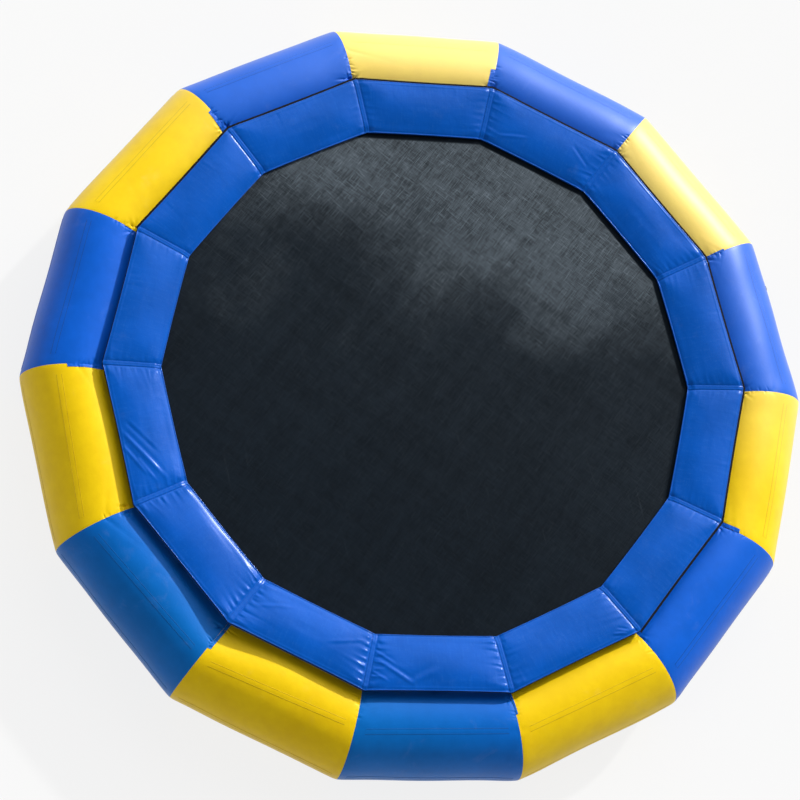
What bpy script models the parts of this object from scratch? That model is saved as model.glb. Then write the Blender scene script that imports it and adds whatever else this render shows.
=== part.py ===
"""Round water trampoline: an inflated ring of fourteen panels that carries a sprung jump mat.

Metres, +Z up. The origin is on the water line's resting surface, under the middle of the ring.
Every side piece is modelled looking along +X, its outward direction, and is then turned about Z
to its own side. Sides run clockwise seen from above, and side 1 starts at the +X axis.
"""

import math

import bmesh
import bpy
from mathutils import Matrix, Vector

COLLECTION_NAME = "water_trampoline"
CUTTER_COLLECTION_NAME = "cutters"

# Counts
SIDES = 14
SIDES_PER_FRAME_SECTION = 2
FRAME_SECTIONS = SIDES // SIDES_PER_FRAME_SECTION
SPRINGS_PER_SIDE = 6
TUBE_FACETS = 24
FRAME_FACETS = 8
FRAME_SEGMENTS_PER_SIDE = 4
MAT_EDGES_PER_SIDE = 4
RING_SIDES_WITH_ANCHOR = (1, 4, 8, 11)
VALVE_SIDE = 4

# Gaps between neighbours
JOIN_GAP = 0.0003
CUT_OVERRUN = 0.004

# Jump mat
MAT_RADIUS = 2.070
MAT_THICKNESS = 0.002

# Inflated ring, set out from the mat's edge
MAT_TO_RING = 0.510
TUBE_RADIUS = 0.394
SKIN_THICKNESS = 0.001
WELD_DEPTH = 0.0005

# Hoop frame
FRAME_RADIUS = 0.021
FRAME_WALL = 0.0015
FRAME_INBOARD = 0.013
FRAME_SEAT_ANGLE = math.radians(120)
PLUG_LENGTH = 0.080
PLUG_CLEARANCE = 0.0003
SHOULDER_LENGTH = 0.006

# Sleeve that ties the frame to each panel
SLEEVE_WIDTH = 0.060
SLEEVE_CLOTH = 0.002
SLEEVE_FOOT = 0.032
SLEEVE_RISE = 0.025
SLEEVE_ARC_STEPS = 5

# Frame screws
SCREW_SHANK_RADIUS = 0.0025
SCREW_HOLE_RADIUS = 0.0029
SCREW_LENGTH = 0.010
SCREW_HEAD_RADIUS = 0.0065
SCREW_HEAD_HEIGHT = 0.004
SCREW_STEPS = 10
SCREW_HEAD_STEPS = 6

# Springs and the hem that they hook into
HEM_WIDTH = 0.022
HEM_THICKNESS = 0.005
SPRING_COIL_RADIUS = 0.011
SPRING_HOOK_RADIUS = 0.0018
SPRING_HOOK_LENGTH = 0.042
SPRING_BITE = 0.006
SPRING_STEPS = 5

# Edge pads
PAD_OVER_MAT = 0.090
PAD_PAST_FRAME = 0.050
PAD_INNER_THICKNESS = 0.034
PAD_OUTER_THICKNESS = 0.048
PAD_CROWN = 0.012
PAD_DRAW_IN = 0.005
PAD_LIFT_OVER_MAT = 0.004
PAD_EDGE_LIFT = 0.0004
PAD_SEAM_GAP = 0.0008
PAD_LENGTH_SHARES = (0.0, 0.07, 0.5, 0.93, 1.0)
PAD_WIDTH_SHARES = (0.0, 0.12, 0.88, 1.0)

# Anchor rings and their keepers
ANCHOR_FACET_ANGLE = math.radians(-30)
ANCHOR_ROD_RADIUS = 0.003
ANCHOR_FACETS = 8
ANCHOR_HALF_WIDTH = 0.028
ANCHOR_SIDE_LENGTH = 0.014
ANCHOR_CORNER = 0.003
ANCHOR_ARC_STEPS = 7
KEEPER_CLEARANCE = 0.0005
KEEPER_CLOTH = 0.0025
KEEPER_WIDTH = 0.042
KEEPER_PATCH_RADIUS = 0.038
KEEPER_PATCH_THICKNESS = 0.003
KEEPER_PATCH_STEPS = 12
KEEPER_ARC_STEPS = 4

# Inflation valve, measured outward from the panel's skin
VALVE_ALONG_PANEL = 0.330
VALVE_STEPS = 16
VALVE_FLANGE_RADIUS = 0.042
VALVE_FLANGE_THICKNESS = 0.003
VALVE_NECK_RADIUS = 0.027
VALVE_NECK_HEIGHT = 0.030
VALVE_BORE_RADIUS = 0.022
VALVE_BARREL_RADIUS = 0.026
VALVE_BARREL_DEPTH = 0.014
VALVE_SKIN_CLEARANCE = 0.0005
VALVE_SEAT_THICKNESS = 0.004
VALVE_SEAT_HOLE_RADIUS = 0.0055
VALVE_VENT_RADIUS = 0.004
VALVE_VENT_CIRCLE = 0.0125
VALVE_VENTS = 4
VALVE_VENT_STEPS = 8
STEM_ROD_RADIUS = 0.0045
STEM_BUTTON_RADIUS = 0.0075
STEM_BUTTON_THICKNESS = 0.003
STEM_BUTTON_UNDERSIDE = 0.0095
STEM_POPPET_RADIUS = 0.0185
STEM_POPPET_THICKNESS = 0.003
STEM_SPRING_WALL = 0.0015
CAP_RADIUS = 0.031
CAP_THICKNESS = 0.004
CAP_PLUG_RADIUS = 0.0215
CAP_PLUG_WALL = 0.004
CAP_PLUG_DEPTH = 0.007
CAP_GRIP_LENGTH = 0.044
CAP_GRIP_WIDTH = 0.008
CAP_GRIP_HEIGHT = 0.007
CAP_GRIP_BEVEL = 0.0015

# Worked out from the sizes above
SIDE_ANGLE = 2 * math.pi / SIDES
HALF_SIDE_TAN = math.tan(SIDE_ANGLE / 2)
SPRING_ANGLE = SIDE_ANGLE / SPRINGS_PER_SIDE
RING_APOTHEM = MAT_RADIUS + MAT_TO_RING
FRAME_CORNER_RADIUS = FRAME_RADIUS / math.cos(math.pi / FRAME_FACETS)
SLEEVE_HOLE_RADIUS = (FRAME_CORNER_RADIUS + JOIN_GAP) / math.cos(math.pi / SLEEVE_ARC_STEPS / 2)
SLEEVE_OUTER_RADIUS = SLEEVE_HOLE_RADIUS + SLEEVE_CLOTH
FRAME_SEAT_HEIGHT = SLEEVE_OUTER_RADIUS + SLEEVE_RISE
SEAT_DISTANCE = TUBE_RADIUS + FRAME_SEAT_HEIGHT
FRAME_APOTHEM = (RING_APOTHEM + SEAT_DISTANCE * math.cos(FRAME_SEAT_ANGLE)
                 - FRAME_INBOARD * math.sin(FRAME_SEAT_ANGLE))
FRAME_Z = (TUBE_RADIUS + SEAT_DISTANCE * math.sin(FRAME_SEAT_ANGLE)
           + FRAME_INBOARD * math.cos(FRAME_SEAT_ANGLE))
FRAME_SEGMENT_ANGLE = SIDE_ANGLE / FRAME_SEGMENTS_PER_SIDE
MAT_Z = FRAME_Z
HEM_INNER_RADIUS = MAT_RADIUS + JOIN_GAP
HEM_OUTER_RADIUS = HEM_INNER_RADIUS + HEM_WIDTH
PAD_INNER_APOTHEM = MAT_RADIUS - PAD_OVER_MAT
PAD_OUTER_APOTHEM = FRAME_APOTHEM + PAD_PAST_FRAME
ANCHOR_CORNER_RADIUS = ANCHOR_ROD_RADIUS / math.cos(math.pi / ANCHOR_FACETS)
ANCHOR_AXIS_HEIGHT = KEEPER_PATCH_THICKNESS + KEEPER_CLEARANCE + ANCHOR_CORNER_RADIUS
QUARTER_TURN = Matrix.Rotation(math.pi / 2, 4, "Y")

BLUE = (0.020, 0.110, 0.480, 1.0)
YELLOW = (0.900, 0.620, 0.030, 1.0)
PAD_BLUE = (0.020, 0.075, 0.420, 1.0)
MAT_GREY = (0.030, 0.034, 0.040, 1.0)
ZINC = (0.560, 0.570, 0.580, 1.0)
STEEL = (0.640, 0.640, 0.650, 1.0)
BLACK = (0.020, 0.020, 0.022, 1.0)
VALVE_GREY = (0.300, 0.310, 0.320, 1.0)


def clear_scene():
    """Remove whatever the file opened with."""
    for obj in list(bpy.data.objects):
        bpy.data.objects.remove(obj, do_unlink=True)


def new_collection(name):
    """A collection linked to the scene."""
    collection = bpy.data.collections.new(name)
    bpy.context.scene.collection.children.link(collection)
    return collection


def material(name, colour, roughness, metallic=0.0):
    """A plain Principled material."""
    made = bpy.data.materials.new(name)
    made.use_nodes = True
    shader = made.node_tree.nodes["Principled BSDF"]
    shader.inputs["Base Color"].default_value = colour
    shader.inputs["Roughness"].default_value = roughness
    shader.inputs["Metallic"].default_value = metallic
    made.diffuse_color = colour
    return made


def side_middle_angle(side):
    """World angle of the middle of a side, sides counted clockwise from +X."""
    return -(side - 0.5) * SIDE_ANGLE


def place(name, mesh, finish, collection, parent, turn=0.0):
    """An object that shows a mesh, turned about the ring's axis, with a finish of its own."""
    obj = bpy.data.objects.new(name, mesh)
    collection.objects.link(obj)
    obj.parent = parent
    obj.rotation_euler = (0.0, 0.0, turn)
    if not mesh.materials:
        mesh.materials.append(None)
    obj.material_slots[0].link = "OBJECT"
    obj.material_slots[0].material = finish
    return obj


def mesh_from(bm, name):
    """Close a bmesh into a mesh with its faces pointing out."""
    bmesh.ops.recalc_face_normals(bm, faces=bm.faces)
    mesh = bpy.data.meshes.new(name)
    bm.to_mesh(mesh)
    bm.free()
    return mesh


def baked(obj):
    """The mesh of an object with its modifiers applied, in world space, and the object removed."""
    bpy.context.view_layer.update()
    depsgraph = bpy.context.evaluated_depsgraph_get()
    mesh = bpy.data.meshes.new_from_object(obj.evaluated_get(depsgraph), depsgraph=depsgraph)
    mesh.transform(obj.matrix_world)
    bpy.data.objects.remove(obj, do_unlink=True)
    return mesh


def loose(mesh, cutters):
    """An object that only lends its mesh to a Boolean."""
    obj = bpy.data.objects.new(mesh.name, mesh)
    cutters.objects.link(obj)
    obj.hide_render = True
    obj.display_type = "WIRE"
    return obj


def combined(base_mesh, steps, cutters):
    """A mesh after a list of Boolean steps, each a pair of operation and mesh."""
    base = loose(base_mesh, cutters)
    tools = []
    for operation, tool_mesh in steps:
        tool = loose(tool_mesh, cutters)
        tools.append(tool)
        modifier = base.modifiers.new(operation.lower(), "BOOLEAN")
        modifier.operation = operation
        modifier.object = tool
    result = baked(base)
    for tool in tools:
        bpy.data.objects.remove(tool, do_unlink=True)
    return result


def box_mesh(name, low, high, bevel):
    """A box between two corners, with its edges cut off by a bevel."""
    bm = bmesh.new()
    bmesh.ops.create_cube(bm, size=1.0)
    size = [b - a for a, b in zip(low, high)]
    middle = [(a + b) / 2 for a, b in zip(low, high)]
    bmesh.ops.scale(bm, vec=size, verts=bm.verts)
    bmesh.ops.translate(bm, vec=middle, verts=bm.verts)
    bmesh.ops.bevel(bm, geom=bm.edges[:], offset=bevel, segments=1, affect="EDGES")
    return mesh_from(bm, name)


def cylinder_mesh(name, radius, low, high, steps, matrix):
    """A capped cylinder along its own Z, from low to high, then placed by a matrix."""
    bm = bmesh.new()
    bmesh.ops.create_cone(bm, cap_ends=True, segments=steps, radius1=radius, radius2=radius,
                          depth=high - low)
    bmesh.ops.translate(bm, vec=(0.0, 0.0, (low + high) / 2), verts=bm.verts)
    bmesh.ops.transform(bm, matrix=matrix, verts=bm.verts)
    return mesh_from(bm, name)


def turned_mesh(name, profile, steps, matrix, cutters):
    """A profile of (height, radius) pairs turned about its own X, then placed by a matrix."""
    mesh = bpy.data.meshes.new(name)
    points = [(height, radius, 0.0) for height, radius in profile]
    closed = all(radius > 0 for _, radius in profile)
    edges = [(i, i + 1) for i in range(len(points) - 1)]
    if closed:
        edges.append((len(points) - 1, 0))
    mesh.from_pydata(points, edges, [])
    obj = loose(mesh, cutters)
    screw = obj.modifiers.new("turn", "SCREW")
    screw.axis = "X"
    screw.steps = steps
    screw.render_steps = steps
    screw.use_merge_vertices = True
    screw.merge_threshold = SPRING_HOOK_RADIUS / 100
    flat = baked(obj)
    bm = bmesh.new()
    bm.from_mesh(flat)
    bmesh.ops.transform(bm, matrix=matrix, verts=bm.verts)
    return mesh_from(bm, name)


def extruded_mesh(name, outline, holes, width, matrix, cutters):
    """A flat outline with holes, thickened to a width along its own Z, placed by a matrix."""
    curve = bpy.data.curves.new(name, "CURVE")
    curve.dimensions = "2D"
    curve.fill_mode = "BOTH"
    curve.extrude = width / 2
    for points in [outline] + holes:
        spline = curve.splines.new("POLY")
        spline.points.add(len(points) - 1)
        spline.use_cyclic_u = True
        for point, (x, y) in zip(spline.points, points):
            point.co = (x, y, 0.0, 1.0)
    obj = bpy.data.objects.new(name, curve)
    cutters.objects.link(obj)
    flat = baked(obj)
    bm = bmesh.new()
    bm.from_mesh(flat)
    bmesh.ops.remove_doubles(bm, verts=bm.verts, dist=JOIN_GAP / 10)
    bmesh.ops.transform(bm, matrix=matrix, verts=bm.verts)
    return mesh_from(bm, name)


def swept_mesh(name, points, scales, radius, facets, cyclic, cutters):
    """A tube along a flat path, one facet facing up, open at its ends unless it is a loop."""
    curve = bpy.data.curves.new(name, "CURVE")
    curve.dimensions = "3D"
    curve.twist_mode = "Z_UP"
    curve.bevel_depth = radius
    curve.bevel_resolution = facets // 2 - 2
    curve.use_fill_caps = False
    spline = curve.splines.new("POLY")
    spline.points.add(len(points) - 1)
    spline.use_cyclic_u = cyclic
    for point, place_at, scale in zip(spline.points, points, scales):
        point.co = (*place_at, 1.0)
        point.radius = scale
        point.tilt = math.pi / facets
    obj = bpy.data.objects.new(name, curve)
    cutters.objects.link(obj)
    return baked(obj)


def axes_matrix(x_axis, y_axis, z_axis, origin):
    """A placing matrix from three axes and an origin."""
    matrix = Matrix.Identity(4)
    for column, axis in enumerate((x_axis, y_axis, z_axis, origin)):
        for row in range(3):
            matrix[row][column] = axis[row]
    return matrix


def facet_matrix(angle, along=0.0):
    """On a side's skin at an angle round the tube: X points out, Y along the side."""
    out = Vector((math.cos(angle), 0.0, math.sin(angle)))
    along_axis = Vector((0.0, 1.0, 0.0))
    up = out.cross(along_axis)
    centre = Vector((RING_APOTHEM, along, TUBE_RADIUS)) + out * TUBE_RADIUS
    return axes_matrix(out, along_axis, up, centre)


def section_matrix(angle):
    """On a side's skin at an angle round the tube, drawing plane across the side."""
    out = Vector((math.cos(angle), 0.0, math.sin(angle)))
    along_axis = Vector((0.0, 1.0, 0.0))
    across = out.cross(along_axis)
    centre = Vector((RING_APOTHEM, 0.0, TUBE_RADIUS)) + out * TUBE_RADIUS
    return axes_matrix(across, out, -along_axis, centre)


def circle_points(radius, steps, centre):
    """Points round a circle, from the direction of +X."""
    turn = 2 * math.pi / steps
    return [(centre[0] + radius * math.cos(i * turn), centre[1] + radius * math.sin(i * turn))
            for i in range(steps)]


def sleeve_skin_mesh():
    """One panel of the inflated ring: an open sleeve, mitred at both ends."""
    bm = bmesh.new()
    loops = []
    for distance in (TUBE_RADIUS, TUBE_RADIUS - SKIN_THICKNESS):
        corner = distance / math.cos(math.pi / TUBE_FACETS)
        made = bmesh.ops.create_cone(bm, cap_ends=False, segments=TUBE_FACETS, radius1=corner,
                                     radius2=corner, depth=1.0)
        turn = Matrix.Rotation(math.pi / TUBE_FACETS, 4, "Y") @ Matrix.Rotation(math.pi / 2, 4, "X")
        bmesh.ops.transform(bm, matrix=turn, verts=made["verts"])
        loops.append(made["verts"])
    for vert in bm.verts:
        x = RING_APOTHEM + vert.co.x
        end = x * HALF_SIDE_TAN - JOIN_GAP / 2 / math.cos(SIDE_ANGLE / 2)
        vert.co = (x, math.copysign(end, vert.co.y), TUBE_RADIUS + vert.co.z)
    inner_of = dict(zip(*loops))
    for edge in [edge for edge in bm.edges if edge.is_boundary and edge.verts[0] in inner_of]:
        a, b = edge.verts
        bm.faces.new((a, b, inner_of[b], inner_of[a]))
    return mesh_from(bm, "tube_panel")


def frame_sleeve_mesh(cutters):
    """The cloth tunnel, welded to a panel's shoulder, that the hoop frame runs through."""
    centre = (FRAME_INBOARD, FRAME_SEAT_HEIGHT)
    outer = SLEEVE_OUTER_RADIUS
    arc = []
    for i in range(SLEEVE_ARC_STEPS + 1):
        angle = math.pi * i / SLEEVE_ARC_STEPS
        arc.append((centre[0] + outer * math.cos(angle), centre[1] + outer * math.sin(angle)))
    outline = [(centre[0] + SLEEVE_FOOT, -WELD_DEPTH)] + arc + [(centre[0] - SLEEVE_FOOT, -WELD_DEPTH)]
    hole = circle_points(SLEEVE_HOLE_RADIUS, 2 * SLEEVE_ARC_STEPS, centre)
    matrix = section_matrix(FRAME_SEAT_ANGLE)
    return extruded_mesh("frame_sleeve", outline, [hole], SLEEVE_WIDTH, matrix, cutters)


def keeper_meshes(cutters):
    """The welded patch and the loop that hold an anchor ring's straight bar."""
    patch = cylinder_mesh("patch", KEEPER_PATCH_RADIUS, -WELD_DEPTH, KEEPER_PATCH_THICKNESS,
                          KEEPER_PATCH_STEPS, facet_matrix(ANCHOR_FACET_ANGLE) @ QUARTER_TURN)
    hole_radius = (ANCHOR_CORNER_RADIUS + KEEPER_CLEARANCE) / math.cos(math.pi / KEEPER_ARC_STEPS / 2)
    outer = hole_radius + KEEPER_CLOTH
    centre = (0.0, ANCHOR_AXIS_HEIGHT)
    foot = KEEPER_PATCH_THICKNESS - WELD_DEPTH
    arc = []
    for i in range(KEEPER_ARC_STEPS + 1):
        angle = math.pi * i / KEEPER_ARC_STEPS
        arc.append((outer * math.cos(angle), centre[1] + outer * math.sin(angle)))
    outline = [(2 * outer, foot)] + arc + [(-2 * outer, foot)]
    hole = circle_points(hole_radius, 2 * KEEPER_ARC_STEPS, centre)
    loop = extruded_mesh("loop", outline, [hole], KEEPER_WIDTH, section_matrix(ANCHOR_FACET_ANGLE),
                         cutters)
    return patch, loop


def valve_matrix():
    """On the skin of the valve's side, X pointing out."""
    return facet_matrix(0.0, VALVE_ALONG_PANEL)


def panel_meshes(cutters):
    """The plain panel, the panel with an anchor keeper and the panel that also takes the valve."""
    plain_steps = [("UNION", frame_sleeve_mesh(cutters))]
    plain = combined(sleeve_skin_mesh(), plain_steps, cutters)
    patch, loop = keeper_meshes(cutters)
    anchored = combined(plain.copy(), [("UNION", patch), ("UNION", loop)], cutters)
    hole = cylinder_mesh("valve_hole", VALVE_BARREL_RADIUS + VALVE_SKIN_CLEARANCE,
                         -SKIN_THICKNESS - CUT_OVERRUN, CUT_OVERRUN, VALVE_STEPS,
                         valve_matrix() @ QUARTER_TURN)
    with_valve = combined(anchored.copy(), [("DIFFERENCE", hole)], cutters)
    return plain, anchored, with_valve


def make_panels(collection, parent, cutters, finishes):
    """Fourteen panels, yellow and blue by turns."""
    plain, anchored, with_valve = panel_meshes(cutters)
    for side in range(1, SIDES + 1):
        mesh = plain
        if side in RING_SIDES_WITH_ANCHOR:
            mesh = anchored
        if side == VALVE_SIDE:
            mesh = with_valve
        finish = finishes["yellow"] if side % 2 else finishes["blue"]
        place(f"tube_panel_{side:02d}", mesh, finish, collection, parent, side_middle_angle(side))


def frame_points():
    """Stations of one frame section in the XY plane, from its plug to its socket end."""
    half_span = SIDES_PER_FRAME_SECTION * SIDE_ANGLE / 2
    count = SIDES_PER_FRAME_SECTION * FRAME_SEGMENTS_PER_SIDE
    corner_reach = FRAME_APOTHEM / math.cos(FRAME_SEGMENT_ANGLE / 2)
    start = Vector((FRAME_APOTHEM * math.cos(half_span), -FRAME_APOTHEM * math.sin(half_span), FRAME_Z))
    along_start = Vector((math.sin(half_span), math.cos(half_span), 0.0))
    end = Vector((start.x, -start.y, FRAME_Z))
    along_end = Vector((-along_start.x, along_start.y, 0.0))
    plug = (FRAME_CORNER_RADIUS - (FRAME_WALL + PLUG_CLEARANCE) / math.cos(math.pi / FRAME_FACETS))
    plug_scale = plug / FRAME_CORNER_RADIUS
    points = [start - along_start * PLUG_LENGTH, start, start + along_start * SHOULDER_LENGTH]
    scales = [plug_scale, plug_scale, 1.0]
    for i in range(count):
        angle = -half_span + (i + 0.5) * FRAME_SEGMENT_ANGLE
        points.append(Vector((corner_reach * math.cos(angle), corner_reach * math.sin(angle), FRAME_Z)))
        scales.append(1.0)
    points.append(end - along_end * JOIN_GAP)
    scales.append(1.0)
    return points, scales, start, along_start


def screw_matrix():
    """A frame screw's place at a section's plug end, its X pointing down out of the tube."""
    _, _, start, along_start = frame_points()
    seat = start - along_start * (PLUG_LENGTH / 2)
    down = Vector((0.0, 0.0, -1.0))
    across = Vector((1.0, 0.0, 0.0))
    return axes_matrix(down, across, down.cross(across), seat + down * FRAME_RADIUS)


def frame_section_mesh(cutters):
    """A bent hollow tube with a reduced plug at one end, and a screw hole at each end."""
    points, scales, _, _ = frame_points()
    skin = swept_mesh("frame_section", points, scales, FRAME_CORNER_RADIUS, FRAME_FACETS, False, cutters)
    obj = loose(skin, cutters)
    wall = obj.modifiers.new("wall", "SOLIDIFY")
    wall.thickness = FRAME_WALL
    wall.offset = -1.0
    wall.use_even_offset = True
    tube = baked(obj)
    span = SIDES_PER_FRAME_SECTION * SIDE_ANGLE
    steps = []
    for turn in (0.0, span):
        matrix = Matrix.Rotation(turn, 4, "Z") @ screw_matrix() @ QUARTER_TURN
        deep = 2 * FRAME_WALL + PLUG_CLEARANCE + CUT_OVERRUN
        hole = cylinder_mesh("screw_hole", SCREW_HOLE_RADIUS, -deep, CUT_OVERRUN, SCREW_STEPS, matrix)
        steps.append(("DIFFERENCE", hole))
    return combined(tube, steps, cutters)


def frame_screw_mesh(cutters):
    """A self-tapping screw with a hexagon head, simplified without its thread."""
    matrix = screw_matrix() @ QUARTER_TURN
    shank = cylinder_mesh("shank", SCREW_SHANK_RADIUS, -SCREW_LENGTH, JOIN_GAP + WELD_DEPTH,
                          SCREW_STEPS, matrix)
    head = cylinder_mesh("head", SCREW_HEAD_RADIUS, JOIN_GAP, JOIN_GAP + SCREW_HEAD_HEIGHT,
                         SCREW_HEAD_STEPS, matrix)
    return combined(shank, [("UNION", head)], cutters)


def make_frame(collection, parent, cutters, finishes):
    """Seven hoop sections plugged into each other, and the screws that lock them."""
    section = frame_section_mesh(cutters)
    screw = frame_screw_mesh(cutters)
    for index in range(FRAME_SECTIONS):
        turn = -(index + 0.5) * SIDES_PER_FRAME_SECTION * SIDE_ANGLE
        place(f"frame_section_{index + 1}", section, finishes["zinc"], collection, parent, turn)
        place(f"frame_screw_{index + 1}", screw, finishes["steel"], collection, parent, turn)


def frame_inner_radius(angle):
    """Distance from the ring's axis to the frame's inner face at an angle from a side's middle."""
    segment = FRAME_SEGMENT_ANGLE
    off_middle = (angle + segment / 2) % segment - segment / 2
    return (FRAME_APOTHEM - FRAME_RADIUS) / math.cos(off_middle)


def hem_mesh():
    """A strip of doubled webbing round two sides of the mat."""
    span = SIDES_PER_FRAME_SECTION * SIDE_ANGLE
    count = SIDES_PER_FRAME_SECTION * MAT_EDGES_PER_SIDE
    trim = JOIN_GAP / 2 / HEM_INNER_RADIUS
    bm = bmesh.new()
    rows = []
    for i in range(count + 1):
        angle = -span / 2 + i * span / count
        angle = max(-span / 2 + trim, min(span / 2 - trim, angle))
        rows.append([(radius * math.cos(angle), radius * math.sin(angle))
                     for radius in (HEM_INNER_RADIUS, HEM_OUTER_RADIUS)])
    outline = [row[0] for row in rows] + [row[1] for row in reversed(rows)]
    verts = [bm.verts.new((x, y, MAT_Z - HEM_THICKNESS / 2)) for x, y in outline]
    face = bm.faces.new(verts)
    grown = bmesh.ops.extrude_face_region(bm, geom=[face])
    lifted = [item for item in grown["geom"] if isinstance(item, bmesh.types.BMVert)]
    bmesh.ops.translate(bm, vec=(0.0, 0.0, HEM_THICKNESS), verts=lifted)
    return mesh_from(bm, "hem")


def spring_bank_mesh(cutters):
    """Twelve extension springs and the hem strip with its rings, one bank for two sides."""
    count = SIDES_PER_FRAME_SECTION * SPRINGS_PER_SIDE
    bm = bmesh.new()
    for i in range(count):
        angle = (i + 0.5 - count / 2) * SPRING_ANGLE
        from_side_middle = (angle + SIDE_ANGLE) % SIDE_ANGLE - SIDE_ANGLE / 2
        inner = HEM_OUTER_RADIUS - SPRING_BITE
        outer = frame_inner_radius(from_side_middle) - JOIN_GAP
        profile = [(inner, 0.0), (inner, SPRING_HOOK_RADIUS),
                   (inner + SPRING_HOOK_LENGTH, SPRING_COIL_RADIUS),
                   (outer - SPRING_HOOK_LENGTH, SPRING_COIL_RADIUS),
                   (outer, SPRING_HOOK_RADIUS), (outer, 0.0)]
        matrix = Matrix.Translation((0.0, 0.0, MAT_Z)) @ Matrix.Rotation(angle, 4, "Z")
        spring = turned_mesh("spring", profile, SPRING_STEPS, matrix, cutters)
        bm.from_mesh(spring)
        bpy.data.meshes.remove(spring)
    springs = mesh_from(bm, "springs")
    return combined(hem_mesh(), [("UNION", springs)], cutters)


def make_springs(collection, parent, cutters, finishes):
    """Seven spring banks between the mat and the frame."""
    bank = spring_bank_mesh(cutters)
    for index in range(FRAME_SECTIONS):
        turn = -(index + 0.5) * SIDES_PER_FRAME_SECTION * SIDE_ANGLE
        place(f"spring_bank_{index + 1}", bank, finishes["zinc"], collection, parent, turn)


def make_mat(collection, parent, finishes):
    """The woven jump mat, on an empty that slides up and down the ring's axis."""
    slide = bpy.data.objects.new("mat_slide", None)
    collection.objects.link(slide)
    slide.parent = parent
    slide.location = (0.0, 0.0, MAT_Z)
    count = SIDES * MAT_EDGES_PER_SIDE
    mesh = cylinder_mesh("jump_mat", MAT_RADIUS, -MAT_THICKNESS / 2, MAT_THICKNESS / 2, count,
                         Matrix.Identity(4))
    first = mesh.vertices[0].co
    mesh.transform(Matrix.Rotation(-math.atan2(first.y, first.x), 4, "Z"))
    place("jump_mat", mesh, finishes["mat"], collection, slide)


def pad_underside(x):
    """Height of a pad's underside at a distance from the ring's axis."""
    seat_z = FRAME_Z + SLEEVE_OUTER_RADIUS - PAD_EDGE_LIFT
    inner_z = MAT_Z + MAT_THICKNESS / 2 + PAD_LIFT_OVER_MAT
    slope = (seat_z - inner_z) / (FRAME_APOTHEM - PAD_INNER_APOTHEM)
    return inner_z + slope * (x - PAD_INNER_APOTHEM)


def pad_mesh(cutters):
    """One edge pad: a crowned cushion with rounded edges and sides that draw in a little."""
    columns = len(PAD_LENGTH_SHARES)
    rows = len(PAD_WIDTH_SHARES)
    bm = bmesh.new()
    bmesh.ops.create_grid(bm, x_segments=rows - 1, y_segments=columns - 1, size=0.5)
    bm.verts.ensure_lookup_table()
    for vert in bm.verts:
        row = round((vert.co.x + 0.5) * (rows - 1))
        column = round((vert.co.y + 0.5) * (columns - 1))
        across = PAD_WIDTH_SHARES[row]
        along = PAD_LENGTH_SHARES[column]
        x = PAD_INNER_APOTHEM + across * (PAD_OUTER_APOTHEM - PAD_INNER_APOTHEM)
        draw_in = PAD_DRAW_IN * (1 - abs(2 * along - 1))
        x += draw_in if row == 0 else 0.0
        x -= draw_in if row == rows - 1 else 0.0
        end = x * HALF_SIDE_TAN - PAD_SEAM_GAP / 2 / math.cos(SIDE_ANGLE / 2)
        vert.co = (x, (2 * along - 1) * end, pad_underside(x))
    grown = bmesh.ops.extrude_face_region(bm, geom=bm.faces[:])
    lifted = [item for item in grown["geom"] if isinstance(item, bmesh.types.BMVert)]
    for vert in lifted:
        across = (vert.co.x - PAD_INNER_APOTHEM) / (PAD_OUTER_APOTHEM - PAD_INNER_APOTHEM)
        inside = min(across, 1 - across) > PAD_WIDTH_SHARES[1] / 2
        end = vert.co.x * HALF_SIDE_TAN
        inside = inside and abs(vert.co.y) < end * (1 - PAD_LENGTH_SHARES[1])
        vert.co.z += PAD_INNER_THICKNESS + across * (PAD_OUTER_THICKNESS - PAD_INNER_THICKNESS)
        vert.co.z += PAD_CROWN if inside else 0.0
    cage = loose(mesh_from(bm, "pad"), cutters)
    rounding = cage.modifiers.new("rounding", "SUBSURF")
    rounding.levels = 1
    rounding.render_levels = 1
    return baked(cage)


def make_pads(collection, parent, cutters, finishes):
    """Fourteen edge pads over the frame and springs."""
    mesh = pad_mesh(cutters)
    mesh.shade_smooth()
    for side in range(1, SIDES + 1):
        place(f"edge_pad_{side:02d}", mesh, finishes["pad"], collection, parent, side_middle_angle(side))


def anchor_ring_mesh(cutters):
    """A round-rod D shape hanging from its straight bar, which lies on the mesh's own Y axis."""
    half = ANCHOR_HALF_WIDTH
    drop = ANCHOR_SIDE_LENGTH
    outline = [(-half + ANCHOR_CORNER, 0.0), (half - ANCHOR_CORNER, 0.0), (half, ANCHOR_CORNER)]
    for i in range(ANCHOR_ARC_STEPS + 1):
        angle = math.pi * i / ANCHOR_ARC_STEPS
        outline.append((half * math.cos(angle), drop + half * math.sin(angle)))
    outline.append((-half, ANCHOR_CORNER))
    points = [(x, y, 0.0) for x, y in outline]
    mesh = swept_mesh("anchor_ring", points, [1.0] * len(points), ANCHOR_CORNER_RADIUS, ANCHOR_FACETS,
                      True, cutters)
    bm = bmesh.new()
    bm.from_mesh(mesh)
    bmesh.ops.remove_doubles(bm, verts=bm.verts, dist=JOIN_GAP / 10)
    hang = axes_matrix((0.0, 1.0, 0.0), (0.0, 0.0, -1.0), (-1.0, 0.0, 0.0), (0.0, 0.0, 0.0))
    bmesh.ops.transform(bm, matrix=hang, verts=bm.verts)
    return mesh_from(bm, "anchor_ring")


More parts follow.
